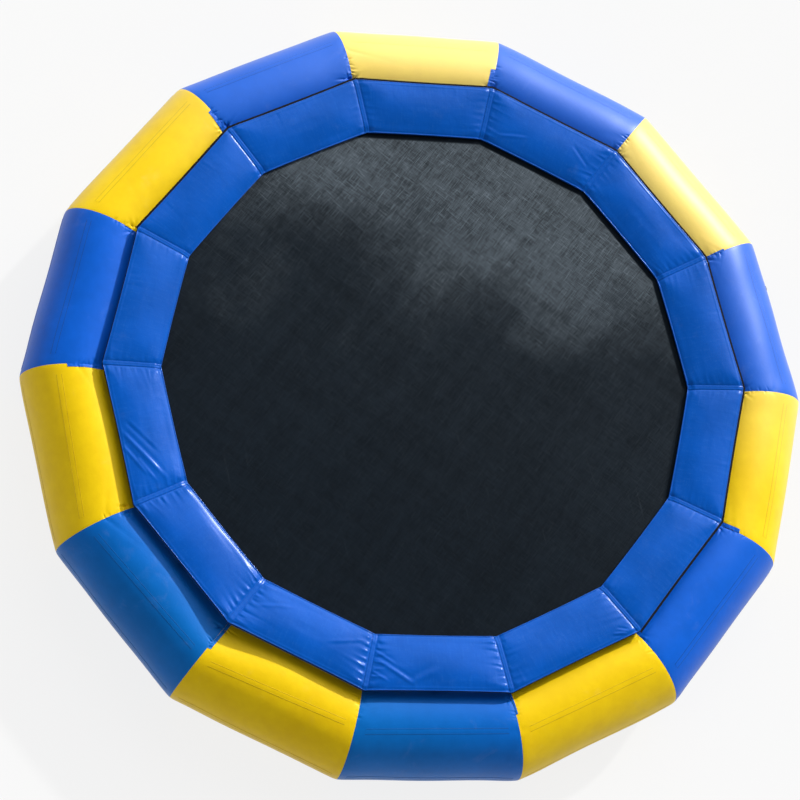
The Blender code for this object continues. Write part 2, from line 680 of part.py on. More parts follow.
def make_anchor_rings(collection, parent, cutters, finishes):
    """Four anchor rings, each hanging from an empty on its hinge line."""
    mesh = anchor_ring_mesh(cutters)
    mesh.shade_smooth()
    for index, side in enumerate(RING_SIDES_WITH_ANCHOR):
        turn = Matrix.Rotation(side_middle_angle(side), 4, "Z")
        seat = facet_matrix(ANCHOR_FACET_ANGLE) @ Vector((ANCHOR_AXIS_HEIGHT, 0.0, 0.0))
        hinge = bpy.data.objects.new(f"anchor_hinge_{index + 1}", None)
        collection.objects.link(hinge)
        hinge.parent = parent
        hinge.location = turn @ seat
        hinge.rotation_euler = (0.0, 0.0, side_middle_angle(side))
        place(f"anchor_ring_{index + 1}", mesh, finishes["steel"], collection, hinge)


def valve_body_mesh(cutters):
    """Flange, neck and seat web of the inflation valve, with vents round the stem's hole."""
    flange_top = JOIN_GAP + VALVE_FLANGE_THICKNESS
    profile = [
        (-VALVE_BARREL_DEPTH, VALVE_BORE_RADIUS), (-VALVE_BARREL_DEPTH, VALVE_BARREL_RADIUS),
        (JOIN_GAP, VALVE_BARREL_RADIUS), (JOIN_GAP, VALVE_FLANGE_RADIUS),
        (flange_top, VALVE_FLANGE_RADIUS), (flange_top, VALVE_NECK_RADIUS),
        (VALVE_NECK_HEIGHT, VALVE_NECK_RADIUS), (VALVE_NECK_HEIGHT, VALVE_BORE_RADIUS),
        (VALVE_SEAT_THICKNESS, VALVE_BORE_RADIUS), (VALVE_SEAT_THICKNESS, VALVE_SEAT_HOLE_RADIUS),
        (0.0, VALVE_SEAT_HOLE_RADIUS), (0.0, VALVE_BORE_RADIUS)]
    body = turned_mesh("valve_body", profile, VALVE_STEPS, valve_matrix(), cutters)
    steps = []
    for i in range(VALVE_VENTS):
        spin = Matrix.Rotation(2 * math.pi * i / VALVE_VENTS, 4, "X")
        off = Matrix.Translation((0.0, VALVE_VENT_CIRCLE, 0.0))
        matrix = valve_matrix() @ spin @ off @ QUARTER_TURN
        vent = cylinder_mesh("vent", VALVE_VENT_RADIUS, -CUT_OVERRUN,
                             VALVE_SEAT_THICKNESS + CUT_OVERRUN, VALVE_VENT_STEPS, matrix)
        steps.append(("DIFFERENCE", vent))
    return combined(body, steps, cutters)


def valve_stem_mesh(cutters):
    """Button, rod and poppet of the valve."""
    poppet_top = -JOIN_GAP
    poppet_under = poppet_top - STEM_POPPET_THICKNESS
    button_top = STEM_BUTTON_UNDERSIDE + STEM_BUTTON_THICKNESS
    profile = [
        (poppet_under, 0.0), (poppet_under, STEM_POPPET_RADIUS), (poppet_top, STEM_POPPET_RADIUS),
        (poppet_top, STEM_ROD_RADIUS), (STEM_BUTTON_UNDERSIDE, STEM_ROD_RADIUS),
        (STEM_BUTTON_UNDERSIDE, STEM_BUTTON_RADIUS), (button_top, STEM_BUTTON_RADIUS), (button_top, 0.0)]
    return turned_mesh("valve_stem", profile, VALVE_STEPS, valve_matrix(), cutters)


def valve_spring_mesh(cutters):
    """The return spring round the stem, as a plain sleeve."""
    inner = STEM_ROD_RADIUS + JOIN_GAP
    outer = inner + STEM_SPRING_WALL
    low = VALVE_SEAT_THICKNESS + JOIN_GAP
    high = STEM_BUTTON_UNDERSIDE - JOIN_GAP
    profile = [(low, inner), (low, outer), (high, outer), (high, inner)]
    return turned_mesh("valve_spring", profile, VALVE_STEPS, valve_matrix(), cutters)


def valve_cap_mesh(cutters):
    """The cap: a disc with a hollow plug and a finger grip."""
    low = VALVE_NECK_HEIGHT + JOIN_GAP
    top = low + CAP_THICKNESS
    plug_end = low - CAP_PLUG_DEPTH
    profile = [
        (low, 0.0), (low, CAP_PLUG_RADIUS - CAP_PLUG_WALL), (plug_end, CAP_PLUG_RADIUS - CAP_PLUG_WALL),
        (plug_end, CAP_PLUG_RADIUS), (low, CAP_PLUG_RADIUS), (low, CAP_RADIUS), (top, CAP_RADIUS),
        (top, 0.0)]
    disc = turned_mesh("valve_cap", profile, VALVE_STEPS, valve_matrix(), cutters)
    grip = box_mesh("grip", (top - WELD_DEPTH, -CAP_GRIP_LENGTH / 2, -CAP_GRIP_WIDTH / 2),
                    (top + CAP_GRIP_HEIGHT, CAP_GRIP_LENGTH / 2, CAP_GRIP_WIDTH / 2), CAP_GRIP_BEVEL)
    grip.transform(valve_matrix())
    return combined(disc, [("UNION", grip)], cutters)


def make_valve(collection, parent, cutters, finishes):
    """The inflation valve's pieces on the side that carries it."""
    turn = side_middle_angle(VALVE_SIDE)
    pieces = {
        "valve_body": (valve_body_mesh, "valve"), "valve_stem": (valve_stem_mesh, "black"),
        "valve_spring": (valve_spring_mesh, "steel"), "valve_cap": (valve_cap_mesh, "black")}
    for name, (make, finish) in pieces.items():
        place(name, make(cutters), finishes[finish], collection, parent, turn)


def make_finishes():
    """One plain material for each finish."""
    return {
        "blue": material("tube_blue", BLUE, 0.35), "yellow": material("tube_yellow", YELLOW, 0.35),
        "pad": material("pad_vinyl", PAD_BLUE, 0.32), "mat": material("jump_mat", MAT_GREY, 0.75),
        "zinc": material("zinc_steel", ZINC, 0.4, 1.0), "steel": material("steel", STEEL, 0.25, 1.0),
        "black": material("black_plastic", BLACK, 0.5), "valve": material("valve_plastic", VALVE_GREY, 0.5)}


def main():
    """Build the whole trampoline."""
    clear_scene()
    collection = new_collection(COLLECTION_NAME)
    cutters = new_collection(CUTTER_COLLECTION_NAME)
    ring_centre = bpy.data.objects.new("ring_centre", None)
    collection.objects.link(ring_centre)
    finishes = make_finishes()
    make_panels(collection, ring_centre, cutters, finishes)
    make_frame(collection, ring_centre, cutters, finishes)
    make_springs(collection, ring_centre, cutters, finishes)
    make_mat(collection, ring_centre, finishes)
    make_pads(collection, ring_centre, cutters, finishes)
    make_anchor_rings(collection, ring_centre, cutters, finishes)
    make_valve(collection, ring_centre, cutters, finishes)


main()
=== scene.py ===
import math

import bmesh
import bpy
import numpy as np
from bpy.props import FloatProperty, FloatVectorProperty, IntProperty, PointerProperty
from mathutils import Matrix, Vector


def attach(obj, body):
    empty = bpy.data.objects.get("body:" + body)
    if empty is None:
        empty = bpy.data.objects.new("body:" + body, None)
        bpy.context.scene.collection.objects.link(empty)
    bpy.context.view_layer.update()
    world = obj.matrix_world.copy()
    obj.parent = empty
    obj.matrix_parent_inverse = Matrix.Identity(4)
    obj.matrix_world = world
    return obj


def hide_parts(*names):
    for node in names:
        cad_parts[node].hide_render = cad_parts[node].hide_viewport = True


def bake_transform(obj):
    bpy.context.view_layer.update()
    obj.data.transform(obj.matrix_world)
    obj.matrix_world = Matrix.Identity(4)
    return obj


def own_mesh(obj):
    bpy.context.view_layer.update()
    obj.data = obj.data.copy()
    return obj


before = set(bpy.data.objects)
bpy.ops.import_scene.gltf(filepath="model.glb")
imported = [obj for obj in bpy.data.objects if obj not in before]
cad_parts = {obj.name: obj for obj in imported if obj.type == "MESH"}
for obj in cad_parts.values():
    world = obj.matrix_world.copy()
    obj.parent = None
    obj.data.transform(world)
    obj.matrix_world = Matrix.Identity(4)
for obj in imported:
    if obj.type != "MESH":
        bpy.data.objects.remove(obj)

bl_info = {
    "name": "Water trampoline",
    "version": (1, 0, 0),
    "blender": (4, 5, 0),
    "location": "View3D > Sidebar > Trampoline",
    "description": "Cloth, pads, mat, springs and hoop of a round water trampoline",
    "category": "Object",
}

# Sizes of the solids, in metres and radians. A side runs from mitre to mitre, -1 to 1 along it
SIDES = 14
SIDE_ANGLE = 2 * math.pi / SIDES
HALF_TAN = math.tan(SIDE_ANGLE / 2)
HALF_COS = math.cos(SIDE_ANGLE / 2)
RING_APOTHEM = 2.580  # from the ring's axis to the middle of the tube
TUBE_RADIUS = 0.394
JOIN_GAP = 0.0003  # between two panels at a mitre
HOOP_APOTHEM = 2.346134
HOOP_Z = 0.773068
HOOP_RADIUS = 0.021
TUNNEL_ANGLE = math.radians(120)  # where round the tube a hoop tunnel sits
TUNNEL_INBOARD = 0.013  # how far its seat lies inboard of that
TUNNEL_HEIGHT = 0.0512154  # of the hoop's middle over the seat
TUNNEL_WIDTH = 0.060
MAT_Z = HOOP_Z
HEM_RADII = (2.0703, 2.0923)  # inner and outer edge
PAD_INNER = 1.980
PAD_OUTER = 2.396134
PAD_WIDTH = PAD_OUTER - PAD_INNER
PAD_UNDER = (0.778068, 0.801726)  # height of the underside at the inner and the outer edge
PAD_THICK = (0.034, 0.048)  # at the inner and the outer edge
PAD_CROWN = 0.012  # how far the middle of a full pad stands up
SPRINGS_PER_SIDE = 6
ANCHOR_SIDES = (1, 4, 8, 11)
KEEPER_ANGLE = math.radians(-30)  # where round the tube an anchor ring is held
KEEPER_AXIS = 0.00675  # height of its hinge over the cloth
VALVE_SIDE = 4
VALVE_ALONG = 0.330  # metres from the middle of its side

# Sizes of the scene's own pieces, in metres
CLOTH_THICK = 0.001
STRIP_SINK = 0.0004  # how far a welded strip's underside lies in the cloth
PATCH_EDGE = 0.0002  # how far a round patch's edge stands off the cloth
LAP_LIFT = 0.0024
VALVE_HOLE = 0.0265  # radius
PAD_GAP = 0.0006  # between a pad's piping and the mitre
MAT_HALF = 0.001  # half the mat's thickness
SHADOW_STRIP_REACH = (0.048, 0.034)  # how far inside the pads the mat's painted sheen starts to end, and ends, leaving a painted shadow strip
OUT_OF_REACH = 9.0  # a distance at which every gather has died out

SWELL_FRAMES = 20
WHITE = (1.0, 1.0, 1.0, 1.0)

# How far the camera is shifted, as a share of the frame, to put the ring where the photo has it
FRAME_SHIFT = (-0.0126, 0.00995)

# Distances from the ring's axis: the mat's middle reaches out to DIP_END; DIP_START goes into no shape
DIP_START = 2.285
DIP_END = 1.500

# Directions in plan, in degrees: the mat's warp, the way towards the light, where the ring gets glossier and
# the ring and mat get a painted sheen, and the way the mat's painted sheen grows
MAT_LAY = 50.0
LIGHT_WAY = -42.0
SHEEN_WAY = -25.0

# Sides away from the camera, whose mat has a painted shadow strip inside the pads, and sides near it, whose
# flanges are narrow
SHADOW_STRIP_SIDES = (1, 2, 3, 4, 5)
NEAR_SIDES = (7, 8, 9, 10, 11, 12)

# Waves to a metre, in radians: the scrim in the ring's cloth and the tapes of the mat
SCRIM_RATE = 2200.0
TAPE_RATE = 1570.0

# By side: where round the tube a mitre's lap starts, in degrees, and how wide it is
LAP_STARTS = {1: 89, 3: 88, 5: 92, 7: 94, 9: 85, 11: 80, 13: 86}
LAP_WIDTHS = {1: 0.036, 3: 0.014, 5: 0.030, 7: 0.016, 9: 0.026, 11: 0.024, 13: 0.030}

# Angles round the tube, in degrees: where a lap ends, and half the widths of a seam tape and its weld line
LAP_END = 168
TAPE_HALF = 2.75
WELD_HALF = 0.42

# By side: the angles round the tube, in degrees, of the two ends of the upper seam tape
TAPE_ANGLES = {7: (72, 74), 8: (77, 74), 9: (79.5, 70), 10: (74, 66), 11: (60, 70), 12: (62, 62)}
PLAIN_TAPE = (59, 59)
LOW_TAPE = (7.75, 7.75)

# By corner: how far slack covers stand off the hoop, how deep the cloth's creases are, and where the
# pads' puckers are deepest
SLACK_CORNERS = {9: 0.022}
CREASE_GAINS = {0: 1.3, 1: 1.0, 2: 1.3, 3: 0.9, 9: 1.1, 10: 1.0, 12: 0.8, 13: 1.6}
DEEP_PUCKER_CORNERS = (8, 9)

# By side: how deep a pad's puckers are, as a share
PUCKER_GAINS = {1: 0.45, 2: 0.8, 3: 0.7, 7: 0.9, 8: 1.2, 9: 1.4, 10: 1.3, 11: 0.9, 12: 0.55, 13: 0.35,
                14: 0.30}

# By side: the single long folds of a pad, each from one point to another, with its width and height
PAD_FOLDS = {
    2: [((2.060, 0.350), (2.160, 0.100), 0.012, 0.0026),
        ((2.160, -0.400), (2.280, -0.200), 0.012, -0.0024)],
    7: [((2.370, 0.440), (2.330, 0.330), 0.009, 0.0036),
        ((2.350, 0.470), (2.300, 0.390), 0.008, -0.0030)],
    8: [((2.160, -0.470), (2.375, -0.150), 0.014, 0.0052),
        ((2.350, -0.210), (2.230, 0.020), 0.022, 0.0042),
        ((2.100, -0.470), (2.220, -0.300), 0.010, 0.0032),
        ((2.250, -0.500), (2.345, -0.360), 0.010, 0.0032)],
    9: [((2.060, 0.400), (2.220, 0.120), 0.013, 0.0028),
        ((2.200, -0.440), (2.070, -0.150), 0.013, 0.0026)],
    11: [((2.385, -0.020), (2.100, 0.440), 0.014, 0.0052),
         ((2.390, 0.100), (2.240, 0.380), 0.012, 0.0042),
         ((2.340, -0.080), (2.130, 0.230), 0.013, -0.0032),
         ((2.310, 0.200), (2.190, 0.430), 0.010, 0.0034)],
}


def side_turn(side):
    """The angle of the middle of a side about the ring's axis."""
    return -(side - 0.5) * SIDE_ANGLE


def turned(points, angle):
    """Points turned about the ring's axis."""
    points = np.asarray(points, float)
    c, s = math.cos(angle), math.sin(angle)
    out = points.copy()
    out[..., 0] = c * points[..., 0] - s * points[..., 1]
    out[..., 1] = s * points[..., 0] + c * points[..., 1]
    return out


def corner_at(side, end):
    """The corner at a side's end, -1 or 1. Corner 0 lies between the last side and the first."""
    return (side if end < 0 else side - 1) % SIDES


def ease(value):
    """A smooth rise from 0 to 1."""
    value = np.clip(value, 0.0, 1.0)
    return value * value * (3 - 2 * value)


def arc(centre, radius, start, end, steps):
    """Points of an arc in a plane, from one angle to another."""
    turns = [start + (end - start) * k / steps for k in range(steps + 1)]
    return [(centre[0] + radius * math.cos(t), centre[1] + radius * math.sin(t)) for t in turns]


class Link:
    """A socket of a material or the world, with Python's operators as Math nodes."""

    def __init__(self, finish, socket):
        self.finish = finish
        self.socket = socket

    def _maths(self, operation, first, second=None, clamp=False):
        """A Math node on links or numbers."""
        values = {i: v for i, v in enumerate((first, second)) if v is not None}
        return self.finish.node("ShaderNodeMath", {"operation": operation, "use_clamp": clamp}, values)

    def __add__(self, other):
        return self._maths("ADD", self, other)

    __radd__ = __add__

    def __sub__(self, other):
        return self._maths("SUBTRACT", self, other)

    def __rsub__(self, other):
        return self._maths("SUBTRACT", other, self)

    def __mul__(self, other):
        return self._maths("MULTIPLY", self, other)

    __rmul__ = __mul__

    def sine(self):
        return self._maths("SINE", self)

    def top(self, other):
        """The larger of two values."""
        return self._maths("MAXIMUM", self, other)

    def kept(self):
        """This value, kept between 0 and 1."""
        return self._maths("ADD", self, 0.0, clamp=True)

    def beside(self, out):
        """Another output of the same node."""
        return Link(self.finish, self.socket.node.outputs[out])

    def between(self, low, high, to_low=0.0, to_high=1.0):
        """This value carried from one range to another, with soft ends."""
        return self.finish.node("ShaderNodeMapRange", {"interpolation_type": "SMOOTHSTEP"},
                                {0: self, 1: low, 2: high, 3: to_low, 4: to_high})


class Finish:
    """The nodes that give a material, or the world, its look."""

    def __init__(self, owner):
        owner.use_nodes = True
        self.owner = owner
        self.tree = owner.node_tree
        self.tree.nodes.clear()

    def node(self, kind, settings=None, inputs=None, out=0):
        """Add a node: its settings first, then values or links on its inputs. An output node has no out."""
        node = self.tree.nodes.new(kind)
        for key, value in (settings or {}).items():
            setattr(node, key, value)
        for key, value in (inputs or {}).items():
            if isinstance(value, Link):
                self.tree.links.new(value.socket, node.inputs[key])
            else:
                node.inputs[key].default_value = value
        return None if out is None else Link(self, node.outputs[out])

    def place(self):
        """Where a point is on the object, in metres."""
        return self.node("ShaderNodeTexCoord", out="Object")

    def lay(self):
        """Where a point is on its piece of cloth, in metres."""
        return self.node("ShaderNodeUVMap", {"uv_map": "cloth"})

    def split(self, source):
        """The first two parts of coordinates."""
        first = self.node("ShaderNodeSeparateXYZ", None, {0: source})
        return first, first.beside(1)

    def turned(self, source, degrees, stretch=(1.0, 1.0, 1.0)):
        """Coordinates stretched, and then turned in plan."""
        return self.node("ShaderNodeMapping", None,
                         {"Vector": source, "Rotation": (0.0, 0.0, math.radians(degrees)), "Scale": stretch})

    def toward(self, degrees):
        """How far a point lies from the ring's axis towards a direction in plan, in metres."""
        return self.split(self.turned(self.place(), -degrees))[0]

    def noise(self, source, scale, detail=3.0, rough=0.5, distort=0.0):
        """Soft noise from 0 to 1."""
        return self.node("ShaderNodeTexNoise", {"noise_dimensions": "3D"},
                         {"Vector": source, "Scale": scale, "Detail": detail, "Roughness": rough,
                          "Distortion": distort})

    def cells(self, source, scale, out="Color"):
        """Cell noise, as on galvanised steel."""
        return self.node("ShaderNodeTexVoronoi", {"feature": "F1"}, {"Vector": source, "Scale": scale}, out)

    def blend(self, amount, first, second):
        """One colour carried over to another."""
        inputs = {"Factor": amount, 6: first, 7: second}
        return self.node("ShaderNodeMix", {"data_type": "RGBA"}, inputs, 2)

    def bump(self, height, distance, strength=1.0, under=None):
        """A normal from a height, on top of another normal."""
        inputs = {"Height": height, "Distance": distance, "Strength": strength}
        if under is not None:
            inputs["Normal"] = under
        return self.node("ShaderNodeBump", None, inputs)

    def show(self, shader, output="ShaderNodeOutputMaterial"):
        """Put a shader on the output, and hand back the material or world."""
        self.node(output, None, {"Surface": shader}, None)
        return self.owner

    def shade(self, constants, links):
        """Show the Principled shader, with its constants on its own sockets."""
        return self.show(self.node("ShaderNodeBsdfPrincipled", None, {**constants, **links}))


def scaled(colour, factor):
    """A colour made lighter or darker, kept below white."""
    return tuple(min(1.0, c * factor) for c in colour[:3]) + (1.0,)


def towards(colour, other, amount):
    """A colour moved towards another."""
    return tuple(a + (b - a) * amount for a, b in zip(colour[:3], other[:3])) + (1.0,)


def gloss_tint(colour):
    """The tint of the sheen on coloured vinyl."""
    most = max(colour[:3])
    return tuple(0.20 + 0.80 * c / most for c in colour[:3]) + (1.0,)


def coated_cloth(f, colour, near, lit_side_colour, weld=1.0):
    """PVC-coated scrim: semi-gloss, faintly woven, mottled, with dried water marks, wetter far away, with a
    painted sheen towards the light.
    """
    where = f.place()
    across, along = f.split(f.lay())
    broad = f.noise(where, 1.7, 4.0, 0.55)
    mottle = f.noise(where, 11.0, 5.0, 0.6)
    marks = f.noise(where, 4.3, 8.0, 0.72, 0.6).between(0.56, 0.74)
    tone = (broad * 0.6 + mottle * 0.4).between(0.32, 0.68)
    light_way = f.toward(LIGHT_WAY)
    wet = (light_way + (broad - 0.5) * 1.2).between(-0.6, 2.6)
    base = f.blend(tone, scaled(colour, 0.90 * weld), scaled(colour, 1.05 * weld))
    # The even panels take a greener, lighter tone on the side away from the light.
    near_tone = f.blend(tone, scaled(near, 0.90 * weld), scaled(near, 1.05 * weld))
    base = f.blend(light_way.between(-2.8, -1.2), near_tone, base)
    # Painted sheen: the cloth is blended towards a paler colour on the side towards the light.
    base = f.blend(light_way.between(0.4, 2.7) * 0.55, base, lit_side_colour)
    base = f.blend(marks * 0.10, base, towards(colour, (0.85, 0.87, 0.88), 0.35))
    scrim = (across * SCRIM_RATE).sine() * (along * SCRIM_RATE).sine()
    weave = f.bump(scrim, 0.00006, 0.5)
    hand = f.bump(f.noise(where, 26.0, 3.0, 0.5), 0.0012, 0.45, weave)
    hand = f.bump(broad, 0.012, 0.30, hand)
    return f.shade({"Specular IOR Level": 0.36, "Specular Tint": gloss_tint(colour),
                    "Coat Roughness": 0.42, "IOR": 1.45},
                   {"Base Color": base, "Roughness": 0.36 + mottle * 0.14 + marks * 0.08,
                    "Coat Weight": 0.08 + broad * 0.10 + wet * 0.66, "Normal": hand})


def pad_vinyl(f, colour, gloss=1.0):
    """Glossy vinyl: fine leather grain, drawn streaks and rubbed places. Piping has more gloss."""
    where = f.place()
    lay = f.lay()
    broad = f.noise(where, 2.6, 4.0, 0.55)
    slack = f.noise(where, 14.0, 3.0, 0.5, 0.4)
    drawn = f.noise(f.turned(lay, 0.0, (7.0, 62.0, 1.0)), 1.0, 4.0, 0.6)
    pulled = f.noise(f.turned(lay, 0.0, (90.0, 9.0, 1.0)), 1.0, 4.0, 0.6)
    grain = f.cells(where, 520.0, "Distance")
    rub = f.noise(where, 6.0, 9.0, 0.75).between(0.55, 0.78)
    streak = drawn * 0.6 + pulled * 0.4
    base = f.blend(broad.between(0.3, 0.7), scaled(colour, 0.90), scaled(colour, 1.08))
    base = f.blend(streak.between(0.50, 0.72) * 0.12, base, towards(colour, (0.12, 0.40, 0.85), 0.6))
    base = f.blend(rub * 0.07, base, towards(colour, (0.35, 0.60, 0.9), 0.5))
    normal = f.bump(grain, 0.0002, 0.25 / gloss)
    if gloss == 1.0:
        normal = f.bump(streak, 0.0016, 0.35, normal)
        normal = f.bump(slack, 0.0040, 0.45, normal)
    return f.shade({"Specular IOR Level": 0.22 * gloss, "Specular Tint": gloss_tint(colour),
                    "Coat Roughness": 0.19, "IOR": 1.5},
                   {"Base Color": base, "Roughness": 0.29 + rub * 0.10 + slack * 0.08,
                    "Coat Weight": (0.07 + broad * 0.14) * (0.5 + 0.5 * gloss), "Normal": normal})


def mat_weave(f, colour, sheen):
    """Woven polypropylene: two crossed sets of flat tapes, streaked by uneven threads and wear, with a
    painted sheen towards the light and a painted shadow strip inside the far pads.
    """
    where = f.place()
    lay = f.turned(where, MAT_LAY)
    warp, weft = f.split(lay)

    def threads(along, across, detail=4.0):
        """Streaks along both sets of tapes, so many to a metre."""
        one = f.noise(f.turned(lay, 0.0, (along, across, 1.0)), 1.0, detail, 0.6)
        other = f.noise(f.turned(lay, 0.0, (across, along, 1.0)), 1.0, detail, 0.6)
        return one, other

    fine_warp, fine_weft = threads(11.0, 150.0)
    pale_warp, pale_weft = threads(9.0, 190.0, 2.0)
    broad_warp, broad_weft = threads(0.7, 9.0, 3.0)
    cloud = f.noise(where, 0.9, 3.0, 0.5)
    scuff = f.noise(f.turned(where, 34.0, (2.0, 26.0, 1.0)), 1.0, 9.0, 0.7).between(0.60, 0.78)
    streak = fine_warp * 0.56 + fine_weft * 0.44
    pale = pale_warp.between(0.56, 0.74).top(pale_weft.between(0.56, 0.74))
    tone = (streak * 0.60 + broad_warp * 0.16 + broad_weft * 0.16 + cloud * 0.08).between(0.38, 0.62)
    base = f.blend(tone, scaled(colour, 0.70), scaled(colour, 1.30))
    base = f.blend(pale * 0.05, base, sheen)
    # Painted sheen: a broad, ragged, paler patch on the side of the mat towards the light.
    ragged = f.noise(where, 1.1, 6.0, 0.6) - 0.5
    sheen_mask = (f.toward(SHEEN_WAY) + ragged * 1.9 + (cloud - 0.5) * 0.9).between(0.25, 1.75)
    # Painted shadow: inside the pads on the sides away from the camera, the painted sheen and scuffs are
    # taken off the mat, leaving a dark strip.
    edge = f.toward(math.degrees(side_turn(SHADOW_STRIP_SIDES[0])))
    for side in SHADOW_STRIP_SIDES[1:]:
        edge = edge.top(f.toward(math.degrees(side_turn(side))))
    outside_shadow_strip = edge.between(PAD_INNER - SHADOW_STRIP_REACH[0], PAD_INNER - SHADOW_STRIP_REACH[1], to_low=1.0, to_high=0.0)
    # The painted sheen's colours, with pale threads in it.
    sheen_tone = f.blend(tone, scaled(sheen, 0.30), scaled(sheen, 1.16))
    sheen_tone = f.blend(pale * 0.55, sheen_tone, scaled(sheen, 2.5))
    # The painted sheen grows a little more towards the light and is kept off the painted shadow strip.
    base = f.blend((sheen_mask * 0.82 + f.toward(LIGHT_WAY).between(-1.6, 1.8) * 0.10) * outside_shadow_strip, base, sheen_tone)
    base = f.blend(scuff * 0.12 * outside_shadow_strip, base, sheen)
    tapes = (warp * TAPE_RATE).sine() * (weft * TAPE_RATE).sine()
    normal = f.bump(tapes, 0.00025, 0.6)
    normal = f.bump(streak, 0.0010, 0.5, normal)
    return f.shade({"Specular IOR Level": 0.035},
                   {"Base Color": base, "Roughness": 0.50 + streak * 0.16, "Normal": normal})


def webbing(f, colour, pitch=0.0022):
    """Woven strap: crossed ribs and a few raised fibres."""
    where = f.place()
    across, along = f.split(f.lay())
    ribs = (across * (2 * math.pi / pitch)).sine() * (along * (math.pi / pitch)).sine()
    fuzz = f.noise(where, 600.0, 3.0, 0.6)
    base = f.blend((ribs * 0.3 + fuzz * 0.7).between(0.1, 0.8), scaled(colour, 0.7), scaled(colour, 1.35))
    normal = f.bump(ribs, 0.0003, 0.6)
    return f.shade({"Specular IOR Level": 0.12},
                   {"Base Color": base, "Roughness": 0.72 + fuzz * 0.15, "Normal": normal})


def plated_steel(f, colour, spangle, rough):
    """Zinc or bright steel: spangled, brushed by handling, dulled in places."""
    where = f.place()
    cell = f.node("ShaderNodeSeparateColor", None, {0: f.cells(where, spangle)})
    dull = f.noise(where, 22.0, 6.0, 0.65).between(0.4, 0.75)
    base = f.blend(cell.between(0.1, 0.9), scaled(colour, 0.86), scaled(colour, 1.10))
    base = f.blend(dull * 0.35, base, scaled(colour, 0.68))
    scratch = f.noise(f.turned(where, 20.0, (30.0, 900.0, 30.0)), 1.0, 2.0, 0.5)
    normal = f.bump(scratch, 0.00008, 0.35)
    return f.shade({"Metallic": 1.0},
                   {"Base Color": base, "Roughness": rough + dull * 0.18 + cell * 0.06, "Normal": normal})


def moulded_plastic(f, colour, rough):
    """Injection-moulded plastic: fine spark grain and slight scuffs on the high places."""
    where = f.place()
    grain = f.noise(where, 1500.0, 2.0, 0.5)
    scuff = f.noise(where, 90.0, 7.0, 0.7).between(0.56, 0.8)
    base = f.blend(scuff * 0.4, colour, towards(colour, (0.6, 0.6, 0.6), 0.35))
    normal = f.bump(grain, 0.00008, 0.4)
    return f.shade({"Specular IOR Level": 0.45},
                   {"Base Color": base, "Roughness": rough + scuff * 0.2, "Normal": normal})


FINISHES = {}


def finish(name):
    """A finish by its name, made when it is first asked for."""
    if name in FINISHES:
        return FINISHES[name]
    ring, pads, mat = settings()
    # Each tuple: the cloth's colour, its tone away from the light, and its painted sheen colour towards the
    # light.
    odd = (ring.odd_colour, ring.odd_colour, ring.odd_lit_side_colour)
    even = (ring.even_colour, ring.near_colour, ring.even_colour)
    kinds = {
        "odd_cloth": (coated_cloth, *odd),
        "even_cloth": (coated_cloth, *even),
        "odd_cloth_weld": (coated_cloth, *odd, 0.70),
        "even_cloth_weld": (coated_cloth, *even, 0.62),
        "pad_cover": (pad_vinyl, tuple(pads.cover_colour)),
        "pad_welt": (pad_vinyl, tuple(pads.cover_colour), 3.0),
        "mat_weave": (mat_weave, tuple(mat.weave_colour), tuple(mat.scuff_and_sheen_colour)),
        # Near-black webbing for the mat's hem and the pads' flanges; on the hoop tunnels the near-black is
        # painted shade.
        "black_webbing_and_painted_shade": (webbing, (0.008, 0.009, 0.011, 1.0)),
        "stitch_thread": (webbing, tuple(pads.thread_colour), 0.0012),
        "hoop_zinc": (plated_steel, (0.56, 0.57, 0.58, 1.0), 150.0, 0.34),
        "spring_zinc": (plated_steel, (0.66, 0.67, 0.69, 1.0), 600.0, 0.26),
        "stainless": (plated_steel, (0.64, 0.64, 0.65, 1.0), 1200.0, 0.20),
        "black_plastic": (moulded_plastic, (0.020, 0.020, 0.022, 1.0), 0.42),
        "valve_plastic": (moulded_plastic, (0.300, 0.310, 0.320, 1.0), 0.40),
    }
    maker, *details = kinds[name]
    FINISHES[name] = maker(Finish(bpy.data.materials.new(name)), *details)
    return FINISHES[name]


